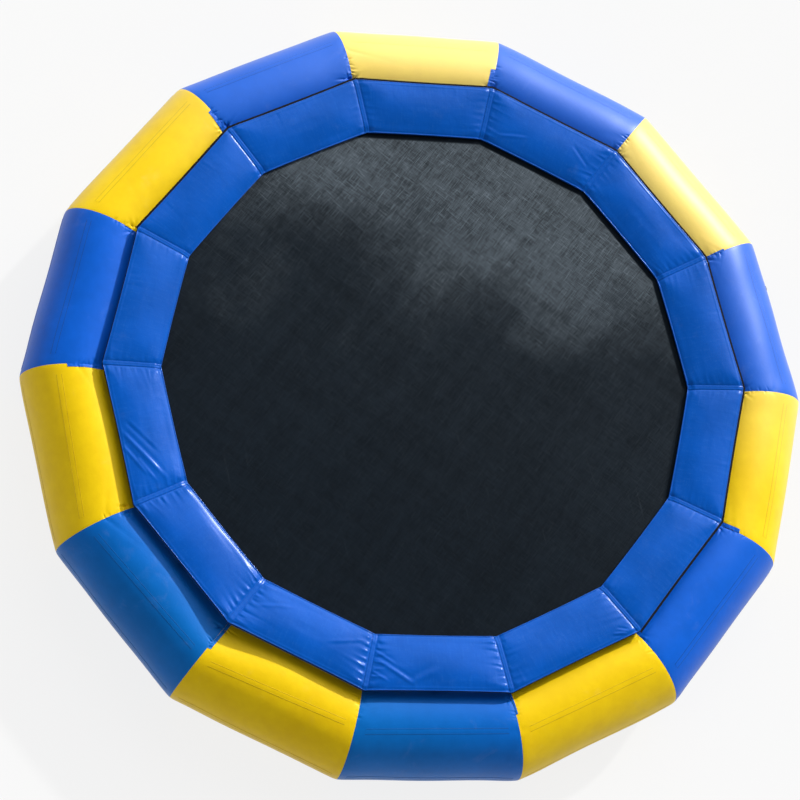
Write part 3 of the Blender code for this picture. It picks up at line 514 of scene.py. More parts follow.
class Pile:
    """Points and faces gathered for one mesh, with a place on the cloth for each corner."""

    def __init__(self):
        self.points = []
        self.faces = []
        self.cloth = []
        self.count = 0

    def add(self, points, faces, cloth=None):
        """Add points and faces. Without a cloth, a corner's place is its place in plan."""
        points = np.asarray(points, float).reshape(-1, 3)
        self.points.append(points)
        self.faces += [tuple(i + self.count for i in face) for face in faces]
        if cloth is None:
            cloth = [[tuple(points[i][:2]) for i in face] for face in faces]
        self.cloth += cloth
        self.count += len(points)

    def sheet(self, upper, lower, cloth=None, around=False, lap=0.0):
        """A closed thin piece between two grids of points. around joins its last row to its first,
        where the cloth has run on by lap."""
        rows, columns = upper.shape[:2]
        half = rows * columns
        faces, uvs = [], []
        if cloth is None:
            cloth = upper[..., :2]

        def corner(i, j, under):
            """A corner's point, and its place on the cloth."""
            index = (i % rows) * columns + j + (half if under else 0)
            place = cloth[i % rows, j]
            return index, (place[0] + (lap if i >= rows else 0.0), place[1])

        def face(*corners):
            """Add one face."""
            made = [corner(*c) for c in corners]
            faces.append(tuple(m[0] for m in made))
            uvs.append([m[1] for m in made])

        end = columns - 1
        for i in range(rows if around else rows - 1):
            for j in range(end):
                face((i, j, 0), (i, j + 1, 0), (i + 1, j + 1, 0), (i + 1, j, 0))
                face((i + 1, j, 1), (i + 1, j + 1, 1), (i, j + 1, 1), (i, j, 1))
            face((i, 0, 0), (i + 1, 0, 0), (i + 1, 0, 1), (i, 0, 1))
            face((i + 1, end, 0), (i, end, 0), (i, end, 1), (i + 1, end, 1))
        if not around:
            last = rows - 1
            for j in range(end):
                face((0, j + 1, 0), (0, j, 0), (0, j, 1), (0, j + 1, 1))
                face((last, j, 0), (last, j + 1, 0), (last, j + 1, 1), (last, j, 1))
        self.add(np.concatenate((upper.reshape(-1, 3), lower.reshape(-1, 3))), faces, uvs)

    def bag(self, grid, place):
        """A closed skin of rows that go round a body, with a flat face at each end."""
        rows, columns = grid.shape[:2]
        faces, uvs = [], []
        for i in range(rows):
            n = (i + 1) % rows
            for j in range(columns - 1):
                corners = ((i, j), (i, j + 1), (n, j + 1), (n, j))
                faces.append(tuple(a * columns + b for a, b in corners))
                uvs.append([tuple(place[a, b]) for a, b in corners])
        for j in (0, columns - 1):
            faces.append(tuple(i * columns + j for i in range(rows)))
            uvs.append([(float(grid[i, j, 0]), float(grid[i, j, 2])) for i in range(rows)])
        self.add(grid, faces, uvs)

    def rod(self, path, radius, facets=8, loop=False):
        """A round rod, bead or wire along a path. radius is one number or one for each point."""
        path = np.asarray(path, float)
        count = len(path)
        radii = np.broadcast_to(np.asarray(radius, float), (count,))
        ahead = np.roll(path, -1, 0) if loop else np.vstack((path[1:], path[-1:]))
        behind = np.roll(path, 1, 0) if loop else np.vstack((path[:1], path[:-1]))
        tangents = ahead - behind
        tangents /= np.linalg.norm(tangents, axis=1)[:, None]
        seed = np.array((0.0, 0.0, 1.0)) if abs(tangents[0][2]) < 0.8 else np.array((1.0, 0.0, 0.0))
        side = np.cross(tangents[0], seed)
        turns = [2 * math.pi * k / facets for k in range(facets)]
        rings, runs = [], []
        run = 0.0
        for i in range(count):
            side = side - tangents[i] * np.dot(side, tangents[i])
            side = side / np.linalg.norm(side)
            over = np.cross(side, tangents[i])
            rings.append([path[i] + radii[i] * (math.cos(t) * side + math.sin(t) * over) for t in turns])
            run += float(np.linalg.norm(path[i] - path[i - 1])) if i else 0.0
            runs.append(run)
        faces, uvs = [], []
        girth = 2 * math.pi * float(radii.max())
        for i in range(count if loop else count - 1):
            n = (i + 1) % count
            far = runs[n] if n else run + float(np.linalg.norm(path[0] - path[-1]))
            for k in range(facets):
                m = (k + 1) % facets
                faces.append((i * facets + k, n * facets + k, n * facets + m, i * facets + m))
                a, b = girth * k / facets, girth * (k + 1) / facets
                uvs.append([(runs[i], a), (far, a), (far, b), (runs[i], b)])
        if not loop:
            faces.append(tuple(range(facets)))
            faces.append(tuple((count - 1) * facets + k for k in reversed(range(facets))))
            uvs += [[(0.0, 0.0)] * facets] * 2
        self.add(np.array(rings), faces, uvs)

    def piece(self, name, finish_name, body="ring", sharp=35.0):
        """An object from what has been gathered, riding on a body unless that is left to the caller."""
        mesh = bpy.data.meshes.new(name)
        mesh.from_pydata(np.concatenate(self.points).tolist(), [], self.faces)
        layer = mesh.uv_layers.new(name="cloth")
        layer.data.foreach_set("uv", [value for face in self.cloth for place in face for value in place])
        bm = bmesh.new()
        bm.from_mesh(mesh)
        bmesh.ops.recalc_face_normals(bm, faces=bm.faces)
        bm.to_mesh(mesh)
        bm.free()
        mesh.shade_smooth()
        mesh.set_sharp_from_angle(angle=math.radians(sharp))
        mesh.materials.append(finish(finish_name))
        obj = bpy.data.objects.new(name, mesh)
        bpy.context.scene.collection.objects.link(obj)
        if body:
            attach(obj, body)
        return obj


def settings():
    """The sizes and colours of the ring, the pads and the mat."""
    scene = bpy.context.scene
    return scene.trampoline_ring, scene.trampoline_pads, scene.trampoline_mat


class SideCloth:
    """The inflated cloth of one side, by the angle round the tube and the place along the side."""

    pinch_reach = 0.022  # how far from a mitre the cloth draws in
    belly = 0.003  # how far the middle of a side stands out
    wave_share = 0.35  # height of the waves, as a share of the slack
    calm_end = 0.22  # the stretch beside a mitre where they die out
    gather_peak = 0.03  # where a gather is highest
    gather_start = 0.02
    taper_in = 0.012  # half the length over which a crease begins
    hollow_angle = math.radians(101)  # the middle of the hollow under a slack corner
    hollow_spread = math.radians(15)
    hollow_reach = 0.34
    run = 0.6  # about half a side, for a strip's place on its cloth

    def __init__(self, side):
        ring = settings()[0]
        rng = np.random.default_rng(500 + side)
        self.side = side
        self.radius = ring.tube_radius
        self.pinch = ring.seam_pinch
        self.slack = ring.slack
        self.waves = [(rng.uniform(-9, 9), rng.uniform(-9, 9), rng.uniform(0, 6.3), rng.uniform(0.4, 1.0))
                      for _ in range(7)]
        self.gathers = {end: corner_gathers(side, end) for end in (-1, 1)}
        self.creases = {end: corner_creases(side, end) for end in (-1, 1)}

    def half_length(self, theta):
        """Half the length of the side at an angle round the tube."""
        x = RING_APOTHEM + TUBE_RADIUS * np.cos(theta)
        return x * HALF_TAN - JOIN_GAP / 2 / HALF_COS

    def points(self, theta, along, lift=0.0):
        """Points of the cloth, along from -1 to 1 between the mitres, lifted off it."""
        theta, along, lift = np.broadcast_arrays(theta, along, lift)
        room = (1 - np.abs(along)) * self.half_length(theta)
        y = along * self.half_length(theta)
        radius = self.radius - self.pinch * np.exp(-room / self.pinch_reach)
        radius = radius + self.belly * (1 - along ** 2)
        wave = sum(w * np.sin(a * theta * self.radius + b * y + c) for a, b, c, w in self.waves)
        radius = radius + self.slack * self.wave_share * wave * ease(room / self.calm_end)
        for end in (-1, 1):
            near = np.where(np.sign(along) == end, room, OUT_OF_REACH)
            for angle, width, length, depth, fan in self.gathers[end]:
                across = (theta - angle) * self.radius - fan * near
                peak = near / self.gather_peak
                rise = peak * np.exp(1 - peak) * 0.35
                rise = rise + np.exp(-near / length) * ease(near / self.gather_start)
                radius = radius + self.slack * depth * np.exp(-(across / (width * 0.5)) ** 2) * rise
            for start, offset, turn, length, width, depth in self.creases[end]:
                a, b = (start - theta) * self.radius, near - offset
                run = a * math.cos(turn) + b * math.sin(turn)
                off = (b * math.cos(turn) - a * math.sin(turn)) / width
                taper = ease((run + self.taper_in) / (2 * self.taper_in)) * (1 - ease(run / length))
                radius = radius + depth * (np.exp(-off ** 2) - 0.45 * np.exp(-(off - 1.9) ** 2)) * taper
            hollow = SLACK_CORNERS.get(corner_at(self.side, end), 0.0)
            round_off = (theta - self.hollow_angle) / self.hollow_spread
            radius = radius - hollow * np.exp(-(near / self.hollow_reach) ** 2 - round_off ** 2)
        radius = radius + lift
        x = RING_APOTHEM + radius * np.cos(theta)
        z = np.maximum(TUBE_RADIUS + radius * np.sin(theta), np.maximum(-lift, 0.0))
        end_y = x * HALF_TAN - JOIN_GAP / 2 / HALF_COS
        y = np.clip(y, -end_y, end_y)
        y = np.where(np.abs(along) >= 0.9999, np.sign(along) * end_y, y)
        return turned(np.stack((x, y, z), -1), side_turn(self.side))


def corner_gathers(side, end):
    """Broad gathers beside a mitre, the same on both sides of it: angle, width, length, depth and slant."""
    rng = np.random.default_rng(900 + corner_at(side, end))
    return [(rng.uniform(1.3, 3.6), rng.uniform(0.035, 0.075), rng.uniform(0.05, 0.20),
             rng.uniform(-1.0, 0.6), rng.uniform(-0.5, 0.5)) for _ in range(9)]


def corner_creases(side, end):
    """Short creases that fan out from a pad's corner beside a mitre: angle, distance from the mitre,
    direction, length, width and depth."""
    rng = np.random.default_rng(1300 + side * 2 + (end > 0))
    gain = CREASE_GAINS.get(corner_at(side, end), 0.6)
    creases = []
    for turn in (6, 20, 36, 55, 78):
        creases.append((math.radians(112 + rng.uniform(-2, 3)), rng.uniform(0.0, 0.03),
                        math.radians(turn + rng.uniform(-6, 6)), rng.uniform(0.05, 0.15),
                        rng.uniform(0.0055, 0.009), -gain * rng.uniform(0.0030, 0.0080)))
    for _ in range(4):
        creases.append((math.radians(rng.uniform(84, 106)), rng.uniform(-0.004, 0.004),
                        math.radians(rng.uniform(60, 110)), rng.uniform(0.025, 0.06),
                        rng.uniform(0.0050, 0.008), -gain * rng.uniform(0.0025, 0.0060)))
    return creases


def along_shares(count, crowd):
    """Places from mitre to mitre, closer together near the mitres."""
    s = np.linspace(-1.0, 1.0, count)
    return (1 - crowd) * s + crowd * np.sin(math.pi / 2 * s)


def girth_angles():
    """Angles round the tube, closest together on the shoulder beside the pads."""
    parts = ((-90, 20, 5.0), (20, 76, 2.5), (76, 118, 0.75), (118, 268, 4.0))
    return np.radians(np.concatenate([np.arange(*part) for part in parts]))


def strip(pile, cloth, theta, along, lift):
    """A strip of cloth welded on a side, over a grid of angles and places along it."""
    theta, along = np.broadcast_arrays(theta, along)
    upper = cloth.points(theta, along, lift)
    lower = cloth.points(theta, along, -STRIP_SINK)
    pile.sheet(upper, lower, np.stack((theta * TUBE_RADIUS, along * cloth.run), -1))


def patch(pile, cloth, angle, middle, radii, lift, sink, spokes):
    """A round patch of cloth welded on a side, whose edge lies down on it."""
    rings = 8
    upper = np.zeros((spokes, rings + 1, 3))
    lower = np.zeros_like(upper)
    for j in range(rings + 1):
        radius = radii[0] + (radii[1] - radii[0]) * j / rings
        for i in range(spokes):
            turn = 2 * math.pi * i / spokes
            theta = angle + radius * math.sin(turn) / TUBE_RADIUS
            along = (middle + radius * math.cos(turn)) / float(cloth.half_length(theta))
            upper[i, j] = cloth.points(theta, along, PATCH_EDGE if j == rings else lift)
            lower[i, j] = cloth.points(theta, along, -sink)
    pile.sheet(upper, lower, around=True)


def panel_finish(side):
    """The cloth of a panel."""
    return "odd_cloth" if side % 2 else "even_cloth"


def make_tube_panel(side):
    """One panel of the air ring: a mitred sleeve of coated cloth."""
    cloth = SideCloth(side)
    along = along_shares(settings()[0].length_steps, 0.70)
    theta, along = np.broadcast_arrays(girth_angles()[:, None], along[None, :])
    upper = cloth.points(theta, along)
    lower = cloth.points(theta, along, -CLOTH_THICK)
    place = np.stack((theta * TUBE_RADIUS, along * cloth.half_length(theta)), -1)
    pile = Pile()
    pile.sheet(upper, lower, place, around=True, lap=2 * math.pi * TUBE_RADIUS)
    obj = pile.piece(f"air_panel_{side:02d}", panel_finish(side), None)
    if side == VALVE_SIDE:
        cut_valve_hole(obj)
    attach(obj, "ring")
    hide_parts(f"tube_panel_{side:02d}")


def cut_valve_hole(obj):
    """Cut the round hole that the valve's barrel goes through."""
    pile = Pile()
    reach = 0.03
    centre = turned((RING_APOTHEM + TUBE_RADIUS, VALVE_ALONG, TUBE_RADIUS), side_turn(VALVE_SIDE))
    out = turned((1.0, 0.0, 0.0), side_turn(VALVE_SIDE))
    pile.rod([centre - out * reach, centre + out * reach], VALVE_HOLE, 32)
    tool = pile.piece("valve_hole", "black_plastic", None)
    cut = obj.modifiers.new("hole", "BOOLEAN")
    cut.operation = "DIFFERENCE"
    cut.object = tool
    bpy.context.view_layer.update()
    done = bpy.data.meshes.new_from_object(obj.evaluated_get(bpy.context.evaluated_depsgraph_get()))
    obj.modifiers.clear()
    obj.data = done
    bpy.data.objects.remove(tool, do_unlink=True)


def make_panel_trim(side):
    """The seam tapes of one panel, their weld lines and, on an odd panel, the lap of the next panel."""
    cloth = SideCloth(side)
    tapes, welds = Pile(), Pile()
    tape_lift = settings()[0].tape_thickness * np.array([0.55, 1.0, 1.0, 1.0, 0.55])[:, None]
    weld_lift = np.array([0.0004, 0.0016, 0.0004])[:, None]
    for (start, end), stop in ((TAPE_ANGLES.get(side, PLAIN_TAPE), 0.085), (LOW_TAPE, 0.050)):
        reach = 1 - stop / cloth.half_length(np.radians(60))
        along = np.linspace(-reach, reach, 61)[None, :]
        middle = start + (end - start) * (0.5 - 0.5 * along)
        theta = np.radians(middle + np.linspace(-TAPE_HALF, TAPE_HALF, 5)[:, None])
        strip(tapes, cloth, theta, along, tape_lift)
        for edge in (-TAPE_HALF, TAPE_HALF):
            theta = np.radians(middle + edge + np.linspace(-WELD_HALF, WELD_HALF, 3)[:, None])
            strip(welds, cloth, theta, along, weld_lift)
    tape = tapes.piece(f"seam_tape_{side:02d}", panel_finish(side))
    weld = welds.piece(f"weld_lines_{side:02d}", panel_finish(side) + "_weld")
    if side % 2 == 0:
        return
    laps = Pile()
    theta = np.radians(np.linspace(LAP_STARTS[side], LAP_END, 110))[:, None]
    width = LAP_WIDTHS[side] / cloth.half_length(theta)
    along = -1 + 0.0004 + width * np.linspace(0.0, 1.0, 7)[None, :]
    strip(laps, cloth, theta, along, LAP_LIFT)
    lap = laps.piece(f"mitre_lap_{side:02d}", panel_finish(side + 1))


def make_hoop_tunnel(side):
    """The tunnel on a panel's shoulder that the hoop runs through, with its welded feet. It is near-black,
    as painted shade under the pads.
    """
    out = np.array((math.cos(TUNNEL_ANGLE), 0.0, math.sin(TUNNEL_ANGLE)))
    up_skin = np.array((-math.sin(TUNNEL_ANGLE), 0.0, math.cos(TUNNEL_ANGLE)))
    seat = np.array((RING_APOTHEM, 0.0, TUBE_RADIUS)) + out * TUBE_RADIUS

    def arch(radius, foot, low):
        """One line over the hoop: a straight drop outboard, a turn over the hoop, and a foot inboard."""
        reach = TUNNEL_HEIGHT - low
        touch = math.acos(radius / reach) - math.pi / 2
        line = [(0.0, low), (0.3 * radius * math.cos(touch), low + 0.3 * (reach + radius * math.sin(touch)))]
        line += arc((0.0, TUNNEL_HEIGHT), radius, touch, math.pi, 18)
        line += [(-radius - 0.001, 0.012), (-radius - 0.006, low + 0.0008), (-radius - foot, low)]
        return line

    outer = arch(0.0262, foot=0.020, low=0.0022)
    inner = arch(0.0240, foot=0.0222, low=-0.0006)
    foot_height = 0.01
    widths = np.linspace(-TUNNEL_WIDTH / 2, TUNNEL_WIDTH / 2, 7)
    grids = []
    for line in (outer, inner):
        grid = np.zeros((len(line), len(widths), 3))
        for i, (across, height) in enumerate(line):
            drop = 0.0
            if height < foot_height:
                drop = TUBE_RADIUS - math.sqrt(TUBE_RADIUS ** 2 - (across - TUNNEL_INBOARD) ** 2)
            for j, y in enumerate(widths):
                point = seat - up_skin * (across - TUNNEL_INBOARD) + out * (height - drop)
                grid[i, j] = (point[0], y, point[2])
        grids.append(turned(grid, side_turn(side)))
    run = np.cumsum([0.0] + [math.dist(a, b) for a, b in zip(outer[1:], outer)])
    place = np.stack(np.broadcast_arrays(run[:, None], widths[None, :]), -1)
    pile = Pile()
    pile.sheet(grids[0], grids[1], place)
    # Painted shade: the tunnel is near-black so that it is lost in the shadow under the pads.
    obj = pile.piece(f"hoop_tunnel_{side:02d}", "black_webbing_and_painted_shade")
    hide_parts(f"tube_panel_{side:02d}")


def keeper_place():
    """Where an anchor ring is held on a side's cloth: seat, outward, along and upward."""
    out = np.array((math.cos(KEEPER_ANGLE), 0.0, math.sin(KEEPER_ANGLE)))
    along = np.array((0.0, 1.0, 0.0))
    up = np.cross(out, along)
    seat = np.array((RING_APOTHEM, 0.0, TUBE_RADIUS)) + out * TUBE_RADIUS
    return seat, out, along, up


def make_anchor_keeper(side, number):
    """The round patch and the loop that hold an anchor ring's bar."""
    pile = Pile()
    patch(pile, SideCloth(side), KEEPER_ANGLE, 0.0, (0.004, 0.040), lift=0.0010, sink=0.0006, spokes=40)
    seat, out, along, up = keeper_place()

    def arch(radius, foot, low):
        """One line over the ring's bar, from foot to foot."""
        over = arc((0.0, KEEPER_AXIS), radius, 0.0, math.pi, 12)
        return [(radius + foot, low), *over, (-radius - foot, low)]

    grids = []
    widths = np.linspace(-0.0205, 0.0205, 6)
    for line in (arch(0.0064, foot=0.0105, low=0.0036), arch(0.0041, foot=0.0118, low=0.0014)):
        grid = np.array([[seat + up * a + out * h + along * y for y in widths] for a, h in line])
        grids.append(turned(grid, side_turn(side)))
    pile.sheet(grids[0], grids[1])
    obj = pile.piece(f"anchor_keeper_{number}", panel_finish(side))
    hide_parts(f"tube_panel_{side:02d}")


def make_anchor_ring(side, number):
    """One D-shaped ring of round rod, hanging from its keeper."""
    half, drop, corner, rod = 0.028, 0.014, 0.003, 0.003
    line = arc((half - corner, corner), corner, -math.pi / 2, 0.0, 6)
    line += arc((0.0, drop), half, 0.0, math.pi, 28)
    line += arc((corner - half, corner), corner, math.pi, 3 * math.pi / 2, 6)
    seat, out, _, _ = keeper_place()
    hinge = seat + out * KEEPER_AXIS
    path = [(hinge[0], hinge[1] + along, hinge[2] - down) for along, down in line]
    pile = Pile()
    pile.rod(turned(path, side_turn(side)), rod, 16, loop=True)
    obj = pile.piece(f"anchor_loop_{number}", "stainless", f"anchor_ring_{number}")
    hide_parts(f"anchor_ring_{number}")


def make_hoop_section(index):
    """One bent section of the hoop, with its necked plug end."""
    reach = HOOP_APOTHEM / math.cos(SIDE_ANGLE / 8) * 0.9996
    middle = -(index - 0.5) * 2 * SIDE_ANGLE
    plug, neck, gap = 0.080 / reach, 0.006 / reach, 0.0001
    plug_radius, tip_radius = 0.0183, 0.0168
    angles = [-SIDE_ANGLE - plug, -SIDE_ANGLE - plug * 0.92, -SIDE_ANGLE, -SIDE_ANGLE + neck]
    radii = [tip_radius, plug_radius, plug_radius, HOOP_RADIUS]
    steps = 39
    for i in range(1, steps + 1):
        angles.append(-SIDE_ANGLE + neck + (2 * SIDE_ANGLE - neck - gap) * i / steps)
        radii.append(HOOP_RADIUS)
    path = [(reach * math.cos(middle + a), reach * math.sin(middle + a), HOOP_Z) for a in angles]
    pile = Pile()
    pile.rod(path, radii, 24)
    obj = pile.piece(f"hoop_section_{index}", "hoop_zinc")
    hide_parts(f"frame_section_{index}")


def spring_points(reach, wire):
    """Rings of a close-wound spring body between its hooks."""
    hook, neck, shoulder = 0.030, 0.012, 0.014
    tip, neck_radius, valley, crest = 0.0022, 0.0075, 0.0092, 0.0108
    start, end = reach[0] + hook, reach[1] - hook
    turns = max(8, int((end - start) / wire))
    places, radii = [start, start + neck], [tip, neck_radius]
    body_start, body_end = start + shoulder, end - shoulder
    step = (body_end - body_start) / turns
    for i in range(turns):
        x = body_start + (body_end - body_start) * i / turns
        places += [x, x + step / 2]
        radii += [valley, crest]
    places += [body_end, end - neck, end]
    radii += [valley, neck_radius, tip]
    return places, radii


def make_side_springs(side):
    """The six extension springs of one side, their hooks and the hem's V-rings."""
    wire = settings()[2].wire
    segment = SIDE_ANGLE / 4
    inner = HEM_RADII[1] + 0.020
    bend, hook_middle = 0.0085, 0.012
    tip, foot, spread, ring_wire = inner + 0.004, HEM_RADII[1] - 0.006, 0.014, 0.0018
    loop = [(foot, -spread, 0), (foot, spread, 0), (foot + 0.010, spread * 0.95, 0), (tip, 0.004, 0),
            (tip + 0.003, 0, 0), (tip, -0.004, 0), (foot + 0.010, -spread * 0.95, 0)]
    pile = Pile()
    for i in range(SPRINGS_PER_SIDE):
        off = (i + 0.5 - SPRINGS_PER_SIDE / 2) * SIDE_ANGLE / SPRINGS_PER_SIDE
        fold = (off + SIDE_ANGLE / 2 + segment / 2) % segment - segment / 2
        outer = (HOOP_APOTHEM - HOOP_RADIUS) / math.cos(fold) + 0.003
        turn = side_turn(side) + off
        places, radii = spring_points((inner, outer), wire)
        pile.rod(turned([(x, 0.0, MAT_Z) for x in places], turn), radii, 10)
        for start, way in ((places[0] + 0.002, -1), (places[-1] - 0.002, 1)):
            hook = [(start - way * 0.010, 0.0, 0.0), (start + way * 0.004, 0.0, 0.0)]
            for k in range(11):
                a = math.radians(-60 + 250 * k / 10)
                hook.append((start + way * (hook_middle + bend * math.sin(a)), 0.0,
                             -bend * 0.5 - bend * 0.6 * math.cos(a)))
            pile.rod(turned(np.array(hook) + (0.0, 0.0, MAT_Z), turn), wire / 2, 6)
        pile.rod(turned(np.array(loop) + (0.0, 0.0, MAT_Z), turn), ring_wire, 6, loop=True)
    obj = pile.piece(f"springs_{side:02d}", "spring_zinc", None, 50.0)
    dip(obj, side)
    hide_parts(f"spring_bank_{(side + 1) // 2}")


def dip(obj, side):
    """Bake a piece's place into its mesh. The points where it would bend as the mat goes down are worked out
    but not used.
    """
    out = turned(np.array((1.0, 0.0, 0.0)), side_turn(side))
    tuple(out * DIP_START + (0, 0, MAT_Z))
    tuple(out * DIP_END + (0, 0, MAT_Z))
    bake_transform(obj)


def make_mat_hem(side):
    """The doubled webbing hem of one side of the mat."""
    pile = Pile()
    gap, mean_radius = 0.0001, 2.08
    angles = np.linspace(-SIDE_ANGLE / 2 + gap, SIDE_ANGLE / 2 - gap, 33)[:, None]
    radii = np.array([HEM_RADII[0] - 0.006, HEM_RADII[0], 2.078, 2.085, HEM_RADII[1]])[None, :]
    bulge = np.array([0.0024, 0.0029, 0.0030, 0.0028, 0.0018])[None, :]
    x, y = radii * np.cos(angles), radii * np.sin(angles)
    grids = [turned(np.stack(np.broadcast_arrays(x, y, MAT_Z + way * bulge), -1), side_turn(side))
             for way in (1, -1)]
    place = np.stack(np.broadcast_arrays(radii, angles * mean_radius), -1)
    pile.sheet(*grids, place)
    obj = pile.piece(f"mat_hem_{side:02d}", "black_webbing_and_painted_shade", None)
    dip(obj, side)
    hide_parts(f"spring_bank_{(side + 1) // 2}")


def mat_height(x, y):
    """The mat is tight but not quite flat."""
    slack = settings()[2].mat_slack
    return MAT_Z + slack * (np.sin(2.1 * x + 0.4) * np.cos(1.7 * y - 0.8) - 1.0) * 0.5


def make_jump_mat():
    """The woven mat: a middle that rides on the mat's body and fourteen outer pieces that run from it to the
    hem.
    """
    rings, per_side, hole = 16, 6, 0.02
    spokes = SIDES * per_side
    upper = np.zeros((spokes, rings, 3))
    for i in range(spokes):
        turn = side_turn(1) - SIDE_ANGLE / 2 + SIDE_ANGLE * i / per_side
        fold = (i % per_side) / per_side * SIDE_ANGLE - SIDE_ANGLE / 2
        reach = DIP_END / math.cos(fold)
        for j in range(rings):
            radius = hole + (reach - hole) * j / (rings - 1)
            x, y = radius * math.cos(turn), radius * math.sin(turn)
            upper[i, j] = (x, y, mat_height(x, y) + MAT_HALF)
    pile = Pile()
    pile.sheet(upper, upper - (0, 0, 2 * MAT_HALF), around=True)
    over = [i * rings for i in range(spokes)]
    under = [spokes * rings + i for i in reversed(over)]
    rim = {*over, *under}
    pile.faces = [face for face in pile.faces if not rim.issuperset(face)] + [tuple(over), tuple(under)]
    pile.cloth = [[tuple(pile.points[0][i][:2]) for i in face] for face in pile.faces]
    middle = pile.piece("mat_middle", "mat_weave", "mat")
    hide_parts("jump_mat")
    fold = np.linspace(-SIDE_ANGLE / 2, SIDE_ANGLE / 2, 25)[:, None]
    share = np.linspace(0.0, 1.0, 12)[None, :]
    near = DIP_END / np.cos(fold)
    radius = near + (HEM_RADII[0] - near) * share
    x, y = radius * np.cos(fold), radius * np.sin(fold)
    for side in range(1, SIDES + 1):
        flat = turned(np.stack((x, y, np.zeros_like(x)), -1), side_turn(side))
        flat[..., 2] = mat_height(flat[..., 0], flat[..., 1]) * (1 - ease(share)) + MAT_Z * ease(share)
        pile = Pile()
        pile.sheet(flat + (0, 0, MAT_HALF), flat - (0, 0, MAT_HALF))
        obj = pile.piece(f"mat_edge_{side:02d}", "mat_weave", None)
        dip(obj, side)
        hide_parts("jump_mat")


